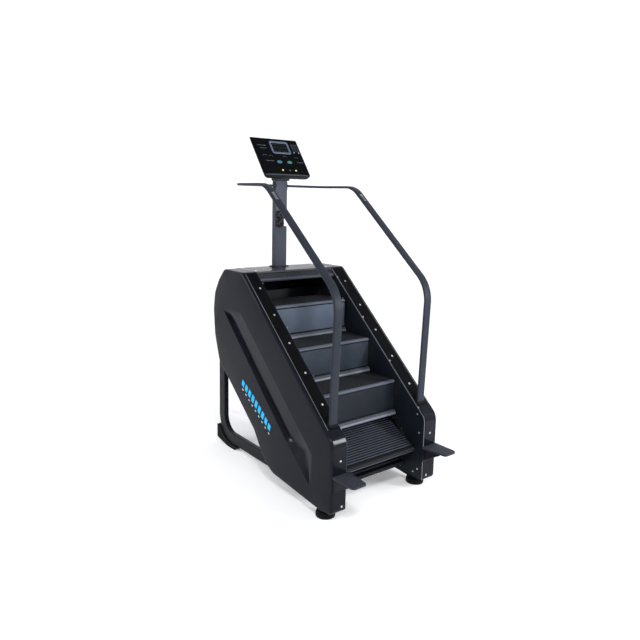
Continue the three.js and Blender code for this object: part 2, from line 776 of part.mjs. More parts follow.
function consoleButton([x, y]) {
  return onFace(upward(ovalShape(x, y, 18, 10), -10, 1.5));
}

// Wedge bracket between the mast's top and the back of the console.
function consoleNeck() {
  const y0 = MAST_FRONT - 22;
  const y1 = MAST_REAR + 10;
  const backPlane = (y) => {
    const depth = CONSOLE_DEEP + GAP;
    const back = [CONSOLE_Y - FACE_OUT[0] * depth, CONSOLE_Z - FACE_OUT[1] * depth];
    return back[1] + ((y - back[0]) * FACE_UP[1]) / FACE_UP[0];
  };
  return prism([
    [y0, MAST_TOP + GAP], [y1, MAST_TOP + GAP], [y1, backPlane(y1)], [y0, backPlane(y0)],
  ], -66, 66);
}

// ---------- assembly ----------

addPair('outer_cover', sideCover(), COVER);
addPair('inner_panel', innerPanel(), COVER);
add('top_panel', topPanel(), COVER);
add('header_beam', headerBeam(), RAIL);
add('rear_panel', rearPanel(), COVER);

addPair('side_frame', sideFrame(), FRAME);
addPair('rear_leg', rearLeg(), FRAME);
addPair('rear_shoe', rearShoe(), RUBBER);
addPair('front_foot', frontFoot(), RUBBER);
addPair('mounting_step', mountingStep(), FRAME);
add('upper_crossbeam', box(-FRAME_IN + GAP, FRAME_IN - GAP, 454, 524, BEAM_TOP - 50, BEAM_TOP), FRAME);
add('lower_crossbeam', box(-LEG_IN + GAP, LEG_IN - GAP, 130, 180, 45, 95), FRAME);
add('rear_crossbeam', box(-LEG_IN + GAP, LEG_IN - GAP, 705, 755, 560, 610), FRAME);

for (const step of [1, 2, 3]) {
  const [y, z] = nosing(step);
  add(`tread_${step}`, tread([y + GOING, z], [-1, 0], [0, 1]), STEP);
  add(`riser_${step}`, riser([y, z], riserFoot(step)), STEP);
}

const tipAlong = [-Math.cos(TIPPED_TILT), -Math.sin(TIPPED_TILT)];
const tipUp = [-Math.sin(TIPPED_TILT), Math.cos(TIPPED_TILT)];
const tipBack = [TIPPED_FRONT[0] - tipAlong[0] * GOING, TIPPED_FRONT[1] - tipAlong[1] * GOING];
add('tread_4', tread(tipBack, tipAlong, tipUp), STEP);
add('riser_4', foldedRiser(tipBack, tipAlong, tipUp), STEP);

// The chain carries its steps one pitch apart, so the returning ones follow from the highest step.
const [topY, topZ] = nosing(1);
const topRod = [topY + GOING - ROD_FROM_FOOT - LOWER[0], topZ - ROD_DROP - LOWER[1]];
const climbed = -topRod[0] * DOWN[0] - topRod[1] * DOWN[1];
const FIRST_RETURN = 2 * (HALF_TURN + STRAIGHT) - climbed - (STEP_COUNT - 4) * PITCH;
for (let i = 0; i < STEP_COUNT - 4; i += 1) {
  add(`return_step_${i + 5}`, returningStep(FIRST_RETURN + i * PITCH), STEP);
}

add('upper_shaft', shaft(UPPER, BELT_OUT), STEEL);
addPair('upper_sprocket', boredSprocket(UPPER), STEEL);
add('lower_sprocket_shaft', join(shaft(LOWER, 366), sprocket(LOWER), mirrored(sprocket(LOWER))), STEEL);
addPair('upper_bearing', bearing(UPPER), FRAME);
addPair('lower_bearing', bearing(LOWER), FRAME);
addPair('stair_chain', loop(
  [LOWER, SPROCKET_R - 6.5], [UPPER, SPROCKET_R - 6.5], 15, CHAIN_IN, CHAIN_OUT), STEEL);

add('drive_pulley', drivePulley(), ALLOY);
add('drive_belt', driveBelt(), RUBBER);
add('generator', generator(), ALLOY);
add('generator_pulley', generatorPulley(), STEEL);
add('control_box', controlBox(), FRAME);

add('mast', mast(), RAIL);
add('mast_knob_upper', starKnob(1612), RUBBER);
add('mast_knob_lower', starKnob(1556), RUBBER);
addPair('handrail', handrail(), RAIL);
add('console_neck', consoleNeck(), FRAME);
add('console_housing', consoleHousing(), CONSOLE);
add('console_fascia', consoleFascia(), CONSOLE);
add('display_screen', displayScreen(), LENS);
add('start_button', consoleButton(START), BUTTON);
add('stop_button', consoleButton(STOP), BUTTON);

export default machine;
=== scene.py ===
"""Looks of the stair climber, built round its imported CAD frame.

Metres, +X to the climber's right, +Y towards the console, +Z up.
"""
import math
from math import cos, pi, radians, sin

import bmesh
import bpy
from mathutils import Matrix, Vector


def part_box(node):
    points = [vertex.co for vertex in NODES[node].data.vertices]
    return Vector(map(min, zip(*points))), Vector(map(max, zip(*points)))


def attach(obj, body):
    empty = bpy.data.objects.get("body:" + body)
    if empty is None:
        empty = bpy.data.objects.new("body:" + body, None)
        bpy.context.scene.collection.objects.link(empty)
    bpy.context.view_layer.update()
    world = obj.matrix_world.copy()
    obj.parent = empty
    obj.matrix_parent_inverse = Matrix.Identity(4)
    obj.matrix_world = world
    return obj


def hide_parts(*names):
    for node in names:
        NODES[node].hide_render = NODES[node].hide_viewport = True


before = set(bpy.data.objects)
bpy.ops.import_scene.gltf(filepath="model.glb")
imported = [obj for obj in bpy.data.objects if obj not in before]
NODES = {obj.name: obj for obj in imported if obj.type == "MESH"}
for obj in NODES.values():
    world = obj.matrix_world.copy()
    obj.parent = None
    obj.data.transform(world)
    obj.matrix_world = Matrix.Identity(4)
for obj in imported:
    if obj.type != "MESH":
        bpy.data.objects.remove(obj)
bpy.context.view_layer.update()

MM = 0.001

# Stair geometry, in millimetres as in the CAD.
RISE, GOING = 217, 245.6
SLOPE = math.atan2(RISE, GOING)
UPHILL = Vector((0, cos(SLOPE), sin(SLOPE)))
OUTWARD = Vector((0, -sin(SLOPE), cos(SLOPE)))
NOSING = Vector((0, -132.9, 851))            # front edge of the second tread
SPROCKET_R = 105
TREAD_HALF = 278
TREAD_THICK = 22
LUG_DROP, ROD_DROP, ROD_U = 47.3, 43.3, 12   # lug and rod under a tread
COVER_IN, COVER_OUT, COVER_EDGE = 306, 409.6, 16
SLOPE_Y, SLOPE_Z = -165, 860                 # a point on the covers' sloped edge
STRIP_THICK = 1.4                            # of the strip along that edge
TOP_Z = 1264
FRONT_Y = -620
BODY_HALF = 305                              # half width of the top and back sheets
RAIL_X, RAIL_WIDE, RAIL_THICK = 341, 55, 15
CHAIN_PITCH = 25.4
POLE = 0.01                                  # radius that stands for a point on an axis
CONSOLE_TILT = radians(36.4)


def slope_z(y):
    return SLOPE_Z + (y - SLOPE_Y) * math.tan(SLOPE)


def slope_y(z):
    return SLOPE_Y + (z - SLOPE_Z) / math.tan(SLOPE)


# ---------- materials ----------

def settings(made, **inputs):
    """Sets inputs of a shader node; an underscore stands for a space."""
    for key, value in inputs.items():
        made.inputs[key.replace("_", " ")].default_value = value
    return made


def node(tree, kind, **inputs):
    return settings(tree.nodes.new(kind), **inputs)


def finish(name, color, rough, metal=0.0, coat=0.0, spread=0.25, grain=900.0, bump=0.15, mottle=6.0,
           rough_spread=0.08, wear=0.0, emission=0.0, stretch=(1, 1, 1), specular=0.12):
    """Shader whose colour and roughness drift slowly over the surface, under a fine grain in relief."""
    mat = bpy.data.materials.new(name)
    mat.use_nodes = True
    tree = mat.node_tree
    shader = settings(tree.nodes["Principled BSDF"], Metallic=metal, Coat_Weight=coat,
                      Specular_IOR_Level=specular, Coat_Roughness=0.13)
    place = node(tree, "ShaderNodeTexCoord")
    mapping = node(tree, "ShaderNodeMapping", Scale=stretch)
    tree.links.new(place.outputs["Object"], mapping.inputs["Vector"])
    slow = node(tree, "ShaderNodeTexNoise", Scale=mottle, Detail=4.0, Roughness=0.6)
    fine = node(tree, "ShaderNodeTexNoise", Scale=grain, Detail=2.0, Roughness=0.5)
    for texture in (slow, fine):
        tree.links.new(mapping.outputs["Vector"], texture.inputs["Vector"])
    ramp = node(tree, "ShaderNodeValToRGB")
    for stop, position, share in zip(ramp.color_ramp.elements, (0.3, 0.7), (1 - spread, 1 + spread)):
        stop.position = position
        stop.color = [min(c * share, 1) for c in color] + [1]
    tree.links.new(slow.outputs["Fac"], ramp.inputs["Fac"])
    paint = ramp.outputs["Color"]
    if wear > 0:
        geometry = node(tree, "ShaderNodeNewGeometry")
        edge = node(tree, "ShaderNodeMapRange", From_Min=0.53, From_Max=0.62, To_Max=wear)
        tree.links.new(geometry.outputs["Pointiness"], edge.inputs["Value"])
        mix = node(tree, "ShaderNodeMix")
        mix.data_type = "RGBA"
        tree.links.new(edge.outputs["Result"], mix.inputs["Factor"])
        tree.links.new(paint, mix.inputs[6])
        mix.inputs[7].default_value = [min(c * 2.5 + 0.02, 1) for c in color] + [1]
        paint = mix.outputs[2]
    tree.links.new(paint, shader.inputs["Base Color"])
    gloss = node(tree, "ShaderNodeMapRange", To_Min=max(rough - rough_spread, 0.03),
                 To_Max=min(rough + rough_spread, 1))
    tree.links.new(slow.outputs["Fac"], gloss.inputs["Value"])
    tree.links.new(gloss.outputs["Result"], shader.inputs["Roughness"])
    if bump > 0:
        relief = node(tree, "ShaderNodeBump", Strength=bump, Distance=0.0006)
        tree.links.new(fine.outputs["Fac"], relief.inputs["Height"])
        tree.links.new(relief.outputs["Normal"], shader.inputs["Normal"])
    if emission > 0:
        tree.links.new(paint, shader.inputs["Emission Color"])
        shader.inputs["Emission Strength"].default_value = emission
    return mat


COVER = finish("cover_paint", (0.0036, 0.0048, 0.0086), 0.28, grain=1400, bump=0.04, spread=0.05,
               rough_spread=0.015, coat=0.2, specular=0.03)
PANEL = finish("panel_paint", (0.0070, 0.0095, 0.0140), 0.40, grain=1400, bump=0.12, spread=0.15)
BAND = finish("slope_band", (0.0012, 0.0014, 0.002), 0.6, grain=1100, bump=0.2, spread=0.15,
              specular=0.05)
STEEL_PAINT = finish("frame_paint", (0.0055, 0.0065, 0.0095), 0.42, grain=700, bump=0.3, spread=0.2,
                     wear=0.1)
RAIL = finish("rail_paint", (0.0165, 0.0195, 0.028), 0.44, grain=1000, bump=0.4, spread=0.12, wear=0.1)
# Riser paint, with two darker copies for the second and third risers: painted shade, darker down the stair as
# the light falls off.
RISER, RISER_PAINTED_SHADE_MID, RISER_PAINTED_SHADE_LOW = [
    finish(name, color, 0.40, grain=1300, bump=0.12, spread=spread, mottle=5) for name, color, spread in (
        ("riser_paint", (0.064, 0.080, 0.112), 0.16), ("riser_paint_painted_shade_mid", (0.027, 0.034, 0.045), 0.2),
        ("riser_paint_painted_shade_low", (0.010, 0.013, 0.018), 0.2))]
# The rail paint made lighter for the mast: painted light, for the light the mast catches.
MAST_PAINTED_LIGHT = finish("mast_paint_painted_light", (0.040, 0.047, 0.064), 0.42, grain=1000, bump=0.4, spread=0.12)
DECK = finish("tread_deck", (0.0035, 0.0042, 0.006), 0.55, grain=900, bump=0.35, spread=0.2, wear=0.3,
              specular=0.12)
DECK_TOP = finish("tread_ribs", (0.055, 0.065, 0.088), 0.42, bump=0.2, spread=0.15)
NOSE = finish("tread_nosing", (0.065, 0.076, 0.10), 0.40, spread=0.12)
BAR = finish("hinge_bar", (0.16, 0.175, 0.21), 0.36, metal=0.1, grain=300, bump=0.1, stretch=(0.05, 1,
             1))
HINGE = finish("hinge_leaf", (0.060, 0.070, 0.088), 0.40, grain=500, bump=0.1, stretch=(0.05, 1, 1))
ZINC = finish("zinc", (0.66, 0.68, 0.70), 0.32, metal=1.0, grain=400, bump=0.05, mottle=60)
CHROME = finish("chrome", (0.30, 0.31, 0.33), 0.25, metal=1.0, grain=300, bump=0.02)
MACHINED = finish("machined_steel", (0.14, 0.145, 0.16), 0.38, metal=1.0, grain=500, bump=0.12,
                  mottle=30)
CAST = finish("cast_alloy", (0.35, 0.36, 0.38), 0.45, metal=1.0, grain=600, bump=0.4, mottle=20)
RUBBER = finish("rubber", (0.004, 0.004, 0.0045), 0.75, grain=500, bump=0.4, spread=0.3)
KNOB = finish("knob_plastic", (0.003, 0.003, 0.0035), 0.4, bump=0.2, specular=0.15)
GLOSS = finish("console_gloss", (0.0012, 0.0015, 0.0020), 0.25, grain=700, bump=0.02,
               rough_spread=0.05, specular=0.05)
SHELL = finish("console_shell", (0.0055, 0.006, 0.008), 0.4, bump=0.2)
BEZEL = finish("bezel", (0.080, 0.105, 0.155), 0.35, bump=0.1, spread=0.1)
SCREEN = finish("screen", (0.002, 0.0025, 0.003), 0.14, grain=200, bump=0.0, spread=0.4, mottle=12,
                specular=0.06)
PRINT_GREY = finish("print_grey", (0.06, 0.066, 0.072), 0.5, bump=0.02)
# Start and stop key colours, with a faint painted glow: the keys hold no lamp.
KEY_BLUE_PAINTED_GLOW = finish("key_blue_painted_glow", (0.045, 0.125, 0.175), 0.35, bump=0.05, emission=0.1)
KEY_GREEN_PAINTED_GLOW = finish("key_green_painted_glow", (0.040, 0.160, 0.130), 0.35, bump=0.05, emission=0.1)
PRINT_WHITE = finish("print_white", (0.62, 0.63, 0.65), 0.45, bump=0.02)
LAMP = finish("lamp_yellow", (0.70, 0.62, 0.22), 0.3, bump=0.02, emission=0.5)
LAMP_DIM = finish("lamp_dim", (0.12, 0.12, 0.05), 0.3, bump=0.02)
KEYPAD = finish("keypad", (0.03, 0.034, 0.038), 0.5, bump=0.1)
CYAN = finish("graphic_cyan", (0.012, 0.42, 0.85), 0.4, bump=0.03, spread=0.05)
# Pale grey for the thin lines along the panels' and the covers' edges: painted highlight.
BEAD_PAINTED_HIGHLIGHT = finish("panel_bead_painted_highlight", (0.16, 0.175, 0.20), 0.35, bump=0.05)
TOP = finish("top_paint", (0.030, 0.032, 0.040), 0.28, grain=1400, bump=0.05, spread=0.1, specular=0.15)
HEADER_LIP = finish("header_lip", (0.034, 0.038, 0.050), 0.36, spread=0.1)
STEP_PAD = finish("step_pad", (0.022, 0.024, 0.033), 0.5, grain=260, bump=0.5, wear=0.2)
SCREEN_CELL = finish("screen_cell", (0.006, 0.008, 0.010), 0.25, bump=0.0)
FLOOR = finish("studio_floor", (0.90, 0.90, 0.905), 0.9, bump=0.02, grain=30, spread=0.01, mottle=1.5,
               emission=0.19, specular=0.1)


# ---------- mesh tools ----------

def new_mesh(name, bm):
    bmesh.ops.recalc_face_normals(bm, faces=bm.faces)
    mesh = bpy.data.meshes.new(name)
    bm.to_mesh(mesh)
    bm.free()
    return mesh


def new_object(name, data):
    obj = bpy.data.objects.new(name, data)
    bpy.context.scene.collection.objects.link(obj)
    return obj


def to_object(name, bm, mat, slot, body="machine", smooth=30.0, bevel=0.0, segments=2):
    """Object from a bmesh in millimetres. One named _left is drawn as the right one and mirrored."""
    bmesh.ops.scale(bm, vec=(MM, MM, MM), verts=bm.verts)
    if name.endswith("_left"):
        bmesh.ops.scale(bm, vec=(-1, 1, 1), verts=bm.verts)
    mesh = new_mesh(name, bm)
    mesh.materials.append(mat)
    mesh.shade_smooth()
    mesh.set_sharp_from_angle(angle=radians(smooth))
    obj = new_object(name, mesh)
    if bevel > 0:
        edge = obj.modifiers.new("edge", "BEVEL")
        edge.width = bevel * MM
        edge.segments = segments
        edge.limit_method = "ANGLE"
        edge.angle_limit = radians(38)
        edge.harden_normals = True
    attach(obj, body)
    return obj


def arc_outline(corners, step=10.0):
    """Points along an outline whose corners [u, v, radius] are rounded by arcs."""
    out = []
    count = len(corners)
    for i, corner in enumerate(corners):
        here = Vector(corner[:2])
        radius = corner[2] if len(corner) > 2 else 0
        a = (Vector(corners[i - 1][:2]) - here).normalized()
        b = (Vector(corners[(i + 1) % count][:2]) - here).normalized()
        half = math.acos(max(-1, min(1, a.dot(b)))) / 2
        if radius <= 0 or half > radians(89.5):
            out.append(here)
            continue
        reach = radius / math.tan(half)
        centre = here + (a + b).normalized() * (radius / sin(half))
        start, end = here + a * reach, here + b * reach
        turn = pi - 2 * half
        pieces = max(2, int(math.ceil(math.degrees(turn) / step)))
        s, e = start - centre, end - centre
        cross = s.x * e.y - s.y * e.x
        for k in range(pieces + 1):
            angle = math.copysign(turn * k / pieces, cross)
            c, n = cos(angle), sin(angle)
            out.append(centre + Vector((s.x * c - s.y * n, s.x * n + s.y * c)))
    return out


def inset(points, distance):
    """Moves a closed anticlockwise outline inward, keeping its number of points."""
    out = []
    for i, here in enumerate(points):
        a = (here - points[i - 1]).normalized()
        b = (points[(i + 1) % len(points)] - here).normalized()
        na, nb = Vector((-a.y, a.x)), Vector((-b.y, b.x))
        middle = (na + nb).normalized()
        out.append(here + middle * (distance / max(middle.dot(na), 0.3)))
    return out


def circle(sides):
    """Cosine and sine of evenly spaced angles."""
    angles = [2 * pi * i / sides for i in range(sides)]
    return [(cos(angle), sin(angle)) for angle in angles]


def tangent(path, i):
    return (path[min(i + 1, len(path) - 1)] - path[max(i - 1, 0)]).normalized()


def join_rings(bm, rings):
    """Quads between neighbouring rings, which all have as many points."""
    for a, b in zip(rings, rings[1:]):
        for i in range(len(a)):
            j = (i + 1) % len(a)
            bm.faces.new((a[i], a[j], b[j], b[i]))


def tube(bm, rings):
    join_rings(bm, rings)
    bm.faces.new(rings[0][::-1])
    bm.faces.new(rings[-1])


def across(bm, points, x0, x1):
    """Adds a prism between x0 and x1 over an outline in Y and Z."""
    tube(bm, [[bm.verts.new((x, p[0], p[1])) for p in points] for x in (x0, x1)])


def upright(bm, points, z0, z1):
    """Adds a prism between z0 and z1 over an outline in X and Y."""
    tube(bm, [[bm.verts.new((p[0], p[1], z)) for p in points] for z in (z0, z1)])


def place(corners, origin, along, upwards):
    """Outline [u, v, ...] in Y and Z, from a profile drawn along two directions."""
    return [[origin[1] + along[1] * c[0] + upwards[1] * c[1],
             origin[2] + along[2] * c[0] + upwards[2] * c[1], *c[2:]] for c in corners]


def box(bm, x0, x1, y0, y1, z0, z1):
    across(bm, [(y0, z0), (y1, z0), (y1, z1), (y0, z1)], x0, x1)


def lathe(bm, profile, origin, axis, sides=28):
    """Solid of revolution; profile is [radius, height] from one end to the other, ends closed."""
    turn = Vector((0, 0, 1)).rotation_difference(Vector(axis)).to_matrix()
    rings = []
    for radius, height in profile:
        r = max(radius, POLE)
        rings.append([bm.verts.new(Vector(origin) + turn @ Vector((r * c, r * s, height)))
                      for c, s in circle(sides)])
    tube(bm, rings)


def rod(bm, a, b, radius, sides=20, chamfer=1.0):
    a, b = Vector(a), Vector(b)
    length = (b - a).length
    thin = radius - chamfer
    lathe(bm, [(thin, 0), (radius, chamfer), (radius, length - chamfer), (thin, length)], a, b - a, sides)


def bolt(bm, at, axis, radius=5.0, height=3.0, washer=True):
    """Button-head screw with a socket, standing on a surface."""
    axis = Vector(axis).normalized()
    base = Vector(at)
    if washer:
        lathe(bm, [(radius * 1.45, 0), (radius * 1.45, 0.7), (radius * 1.3, 0.9)], base, axis, 20)
        base = base + axis * 0.9
    profile = [(radius, 0), (radius, height * 0.4), (radius * 0.9, height * 0.75), (radius * 0.62, height),
               (radius * 0.42, height), (radius * 0.38, height * 0.45)]
    lathe(bm, profile, base, axis, 18)


def screws(name, spots):
    """One object of screws, each a (place, axis, radius, height)."""
    bm = bmesh.new()
    for spot in spots:
        bolt(bm, *spot)
    to_object(name, bm, ZINC, "steel")


def prism(name, outline, x0, x1, *looks, **options):
    """Object of one prism; looks are a material, a slot and perhaps a body."""
    bm = bmesh.new()
    across(bm, outline, x0, x1)
    return to_object(name, bm, *looks, **options)


def turned(name, profile, at, axis, sides, *looks, **options):
    """Object of one solid of revolution."""
    bm = bmesh.new()
    lathe(bm, profile, at, axis, sides)
    return to_object(name, bm, *looks, **options)


def cut(obj, bm):
    """Cuts a bmesh, in millimetres, out of an object."""
    bmesh.ops.scale(bm, vec=(MM, MM, MM), verts=bm.verts)
    tool = new_object("cutter", new_mesh("cutter", bm))
    step = obj.modifiers.new("cut", "BOOLEAN")
    step.operation = "DIFFERENCE"
    step.solver = "EXACT"
    step.object = tool
    bpy.context.view_layer.update()
    solid = bpy.data.meshes.new_from_object(obj.evaluated_get(bpy.context.evaluated_depsgraph_get()))
    obj.modifiers.clear()
    obj.data = solid
    bpy.data.objects.remove(tool)


def thicken(obj, thickness, offset):
    wall = obj.modifiers.new("wall", "SOLIDIFY")
    wall.thickness = thickness * MM
    wall.offset = offset


def cut_boxes(obj, *boxes):
    bm = bmesh.new()
    for sides in boxes:
        box(bm, *sides)
    cut(obj, bm)


# ---------- covers ----------

COVER_CORNERS = [
    (FRONT_Y, 58, 26), (-520, 46, 60), (-61, 86, 80), (3, 117, 60), (74, 185, 60), (152, 294, 60),
    (592, 648, 70), (648, 812, 200), (664, 985, 200), (646, 1100, 140), (590, 1192, 120), (521, TOP_Z, 36),
    (slope_y(TOP_Z), TOP_Z, 40), (FRONT_Y, slope_z(FRONT_Y), 90),
]


def piecewise(stations, s):
    """Value at s on a line through stations (s, value) in falling order of s."""
    if s >= stations[0][0]:
        return stations[0][1]
    for (s0, v0), (s1, v1) in zip(stations, stations[1:]):
        if s >= s1:
            return v1 + (v0 - v1) * (s - s1) / (s0 - s1)
    return stations[-1][1]


# The recessed band along the cover, in distance up the slope and across it.
TIP, TAIL = 1049, -220
RIDGE = [(TIP, 405), (900, 552), (-109, 555), (TAIL, 403)]
VALLEY = [(TIP, 405), (106, 398), (-50, 476), (-172, 407), (TAIL, 403)]
LEDGE = [(TIP, 402), (930, 397), (106, 389), (-172, 400), (TAIL, 402)]
BAND_DEPTH = [(TIP, 0), (985, 21), (-60, 21), (-172, 12), (TAIL, 0)]
GRIP = [(838, 346), (590, 352), (592, 271)]          # corners of the small pocket below the band
GRIP_DEPTH = 11


def relief(s, t):
    """Depth of the cover's pressed-in shapes."""
    if TAIL < s < TIP:
        ridge, valley, ledge = (piecewise(line, s) for line in (RIDGE, VALLEY, LEDGE))
        depth = piecewise(BAND_DEPTH, s)
        if valley <= t < ridge:
            return depth * (ridge - t) / (ridge - valley)
        if ledge < t < valley:
            return depth * (t - ledge) / (valley - ledge)
    inside = min((Vector(GRIP[i - 1]) - Vector(GRIP[i])).normalized().cross(Vector((s, t)) - Vector(GRIP[i]))
                 for i in range(3))
    return GRIP_DEPTH * max(0, min(inside / 12, 1))


def cover(side):
    bm = bmesh.new()
    outline = arc_outline(COVER_CORNERS, 7)
    rows = 6
    rings = [[bm.verts.new((x, p.x, p.y)) for p in outline]
             for x in (COVER_IN, COVER_IN + 1.5, COVER_OUT - COVER_EDGE - 1.5)]
    for k in range(rows + 1):
        angle = pi / 2 * k / rows
        x = COVER_OUT - COVER_EDGE + COVER_EDGE * sin(angle)
        edge = inset(outline, COVER_EDGE * (1 - cos(angle)))
        rings.append([bm.verts.new((x, p.x, p.y)) for p in edge])
    join_rings(bm, rings)
    faces = {bm.faces.new(rings[-1])}
    lines = sorted({v for line in (RIDGE, LEDGE) for _, v in line} | set(range(262, 566, 7)))
    cutters = [(OUTWARD * t, OUTWARD) for t in lines]
    cutters += [(UPHILL * s, UPHILL) for s in range(TAIL - 20, TIP + 30, 14)]
    for point, normal in cutters:
        verts = list({v for f in faces for v in f.verts})
        edges = list({e for f in faces for e in f.edges})
        halves = bmesh.ops.bisect_plane(bm, geom=verts + edges + list(faces), plane_co=point,
                                        plane_no=normal, dist=1e-3)
        faces = {f for f in halves["geom"] if isinstance(f, bmesh.types.BMFace)}
    border = set(rings[-1]) | {v for f in faces for v in f.verts if any(g not in faces for g in v.link_faces)}
    for vert in {v for f in faces for v in f.verts} - border:
        flat = Vector((0, vert.co.y, vert.co.z))
        vert.co.x -= relief(flat.dot(UPHILL), flat.dot(OUTWARD))
    bmesh.ops.triangulate(bm, faces=list(faces))
    obj = to_object(f"cover_{side}", bm, COVER, "cover_plastic", smooth=24)
    thicken(obj, 3.2, -1)
    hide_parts(f"outer_cover_{side}")


def cover_trim(side):
    """Dark strip along the slope, the pale line at its outer edge that paints the highlight of the cover's
    rounded edge, and the cover's screws.
    """
    low, high = [Vector((0, y, slope_z(y))) for y in (FRONT_Y + 62, slope_y(TOP_Z) - 10)]
    lift = OUTWARD * STRIP_THICK
    strip = [(p.y, p.z) for p in (low, high, high + lift, low + lift)]
    edge = COVER_OUT - COVER_EDGE
    prism(f"slope_strip_{side}", strip, COVER_IN + 5, edge - 6, BAND, "cover_plastic",
          bevel=0.5)
    # Pale line beside the strip: a painted highlight of the cover's rounded edge.
    prism(f"slope_edge_painted_highlight_{side}", strip, edge - 5.8, edge - 3.4, BEAD_PAINTED_HIGHLIGHT, "cover_plastic",
          bevel=0.4)
    spots = [(Vector((340.7, y, slope_z(y))) + lift, OUTWARD, 4.6, 2.6)
             for y in [191.5 - 158.3 * k for k in range(5)]]
    spots += [((x, FRONT_Y, z), (0, -1, 0), 4.2, 2.4) for x, z in ((349, 353), (333, 91))]
    screws(f"cover_screws_{side}", spots)


def graphic(side):
    """Abstract mark: a run of slanted bars that climb with the slope, over a row of small ticks."""
    bars, ticks = bmesh.new(), bmesh.new()
    top, run = Vector((289, 576)), Vector((-334, -218))
    along = -run.normalized()
    rise = Vector((-along.y, along.x))
    count = 9
    for k in range(count):
        foot = top + run * ((k + 0.9) / count) - rise * 20
        reach = 34 + 12 * sin(pi * (k + 0.5) / count)
        for bm, low, wide, lean in (
                (bars, foot, along * 29, rise * reach + along * 9),
                (ticks, foot - rise * 22 - along * 8, along * 14, rise * 7 + along * 2)):
            across(bm, [low, low + wide, low + wide + lean, low + lean], COVER_OUT - 0.3, COVER_OUT + 0.25)
    to_object(f"graphic_{side}", bars, CYAN, "cover_plastic")
    to_object(f"graphic_ticks_{side}", ticks, PRINT_WHITE, "cover_plastic")


def inner_panel(side):
    corners = [(FRONT_Y + 6, 60, 8), (-250, 60), (-215, 125), (120, 360), (120, slope_z(120) - 312),
               (500, slope_z(500) - 312), (500, 1195), (448, 1195), (448, TOP_Z - 8),
               (slope_y(TOP_Z) + 6, TOP_Z - 8, 10), (FRONT_Y + 6, slope_z(FRONT_Y) - 8, 60)]
    obj = prism(f"panel_{side}", arc_outline(corners), 302, 305, PANEL, "cover_plastic",
                bevel=0.6)
    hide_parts(f"inner_panel_{side}")
    # A pale bead follows the panel's sloped and front edges; its pale colour is a painted highlight along
    # those edges.
    path = arc_outline([(slope_y(TOP_Z) + 2, TOP_Z - 8, 0), (FRONT_Y + 6, slope_z(FRONT_Y) - 8, 60),
                        (FRONT_Y + 6, 64, 0), (FRONT_Y + 8, 64, 0)])[:-1]
    bm = bmesh.new()
    rings = []
    for i, p in enumerate(path):
        along = tangent(path, i)
        normal = Vector((0, -along.y, along.x))
        rings.append([bm.verts.new(Vector((303.5 + 2.6 * c, p.x, p.y)) + normal * 2.2 * s)
                      for c, s in circle(8)])
    tube(bm, rings)
    to_object(f"panel_bead_painted_highlight_{side}", bm, BEAD_PAINTED_HIGHLIGHT, "cover_plastic", smooth=60)
    spots = ((164, 1064), (225, 1200), (-44, 970), (-305, 736), (-560, 504), (-555, 461), (-575, 350),
             (-575, 120), (-540, 92), (-430, 92))
    screws(f"panel_screws_{side}", [((302, y, z), (-1, 0, 0), 4.0, 2.2) for y, z in spots])


# ---------- top, header and back ----------

def top_and_back():
    front = slope_y(TOP_Z)
    corners = [(front - 3, TOP_Z - 12, 0), (front, TOP_Z - 12, 0), (front, TOP_Z - 4, 2), (528, TOP_Z - 4),
               (530, TOP_Z - 1, 1), (528, TOP_Z, 1), (front - 3, TOP_Z, 3)]
    obj = prism("top_sheet", arc_outline(corners), -BODY_HALF, BODY_HALF, TOP, "cover_plastic",
                bevel=0.4)
    cut_boxes(obj, (-49.5, 49.5, 466, 510, 1240, 1290))
    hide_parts("top_panel")

    # Header: a folded sheet with a lighter, rounded bar under it.
    low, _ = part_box("header_beam")
    y0, z0 = low.y / MM, low.z / MM
    sheet = arc_outline([(y0 + 12, 1210), (y0 + 34, 1210), (y0 + 43, 1250), (y0 + 26, 1250)])
    obj = prism("header_sheet", sheet, -301, 301, PANEL, "rail_paint", bevel=1.0)
    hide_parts("header_beam")
    lip = [(y0 + 13 + 13 * c, z0 + 13 + 13 * s) for c, s in circle(30)]
    prism("header_lip", lip, -300.5, 300.5, HEADER_LIP, "rail_paint", bevel=1.0)

    # Back: one curved sheet with rows of louvres.
    spine = [(530, 1256), (592, 1190), (636, 1100), (650, 1000), (646, 880), (628, 760), (592, 660)]
    curve = smooth_run(spine, 8)
    bm = bmesh.new()
    cols = 24
    grid = [[bm.verts.new((-BODY_HALF + 2 * BODY_HALF * c / cols, p.x, p.y)) for c in range(cols + 1)]
            for p in curve]
    for low, high in zip(grid, grid[1:]):
        for c in range(cols):
            bm.faces.new((low[c], low[c + 1], high[c + 1], high[c]))
    obj = to_object("back_sheet", bm, COVER, "cover_plastic", smooth=60)
    thicken(obj, 3, 0)
    cut_boxes(obj, *[(-150, 150, 600, 700, z - 5, z + 5) for z in range(1046, 875, -34)])
    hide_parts("rear_panel")
    spots = []
    for x in (-290, 290):
        for t in (0.08, 0.35, 0.65, 0.92):
            k = int(t * (len(curve) - 1))
            down = (curve[k + 1] - curve[k]).normalized()
            out = Vector((0, -down.y, down.x))
            spots.append((Vector((x, *curve[k])) + out * 1.5, out, 4.2, 2.4))
    spots += [((x, y, TOP_Z), (0, 0, 1), 4.2, 2.4) for x in (-285, 285) for y in (330, 490)]
    screws("body_screws", spots)


def smooth_run(points, pieces):
    """Catmull-Rom curve through points."""
    pts = [Vector(p) for p in points]
    pts = [pts[0] * 2 - pts[1]] + pts + [pts[-1] * 2 - pts[-2]]
    out = []
    for i in range(1, len(pts) - 2):
        p0, p1, p2, p3 = pts[i - 1:i + 3]
        for k in range(pieces):
            t = k / pieces
            out.append(0.5 * ((2 * p1) + (p2 - p0) * t + (2 * p0 - 5 * p1 + 4 * p2 - p3) * t * t
                              + (3 * p1 - p0 - 3 * p2 + p3) * t ** 3))
    return out + [pts[-2]]


# ---------- legs, shoes, feet and mounting steps ----------

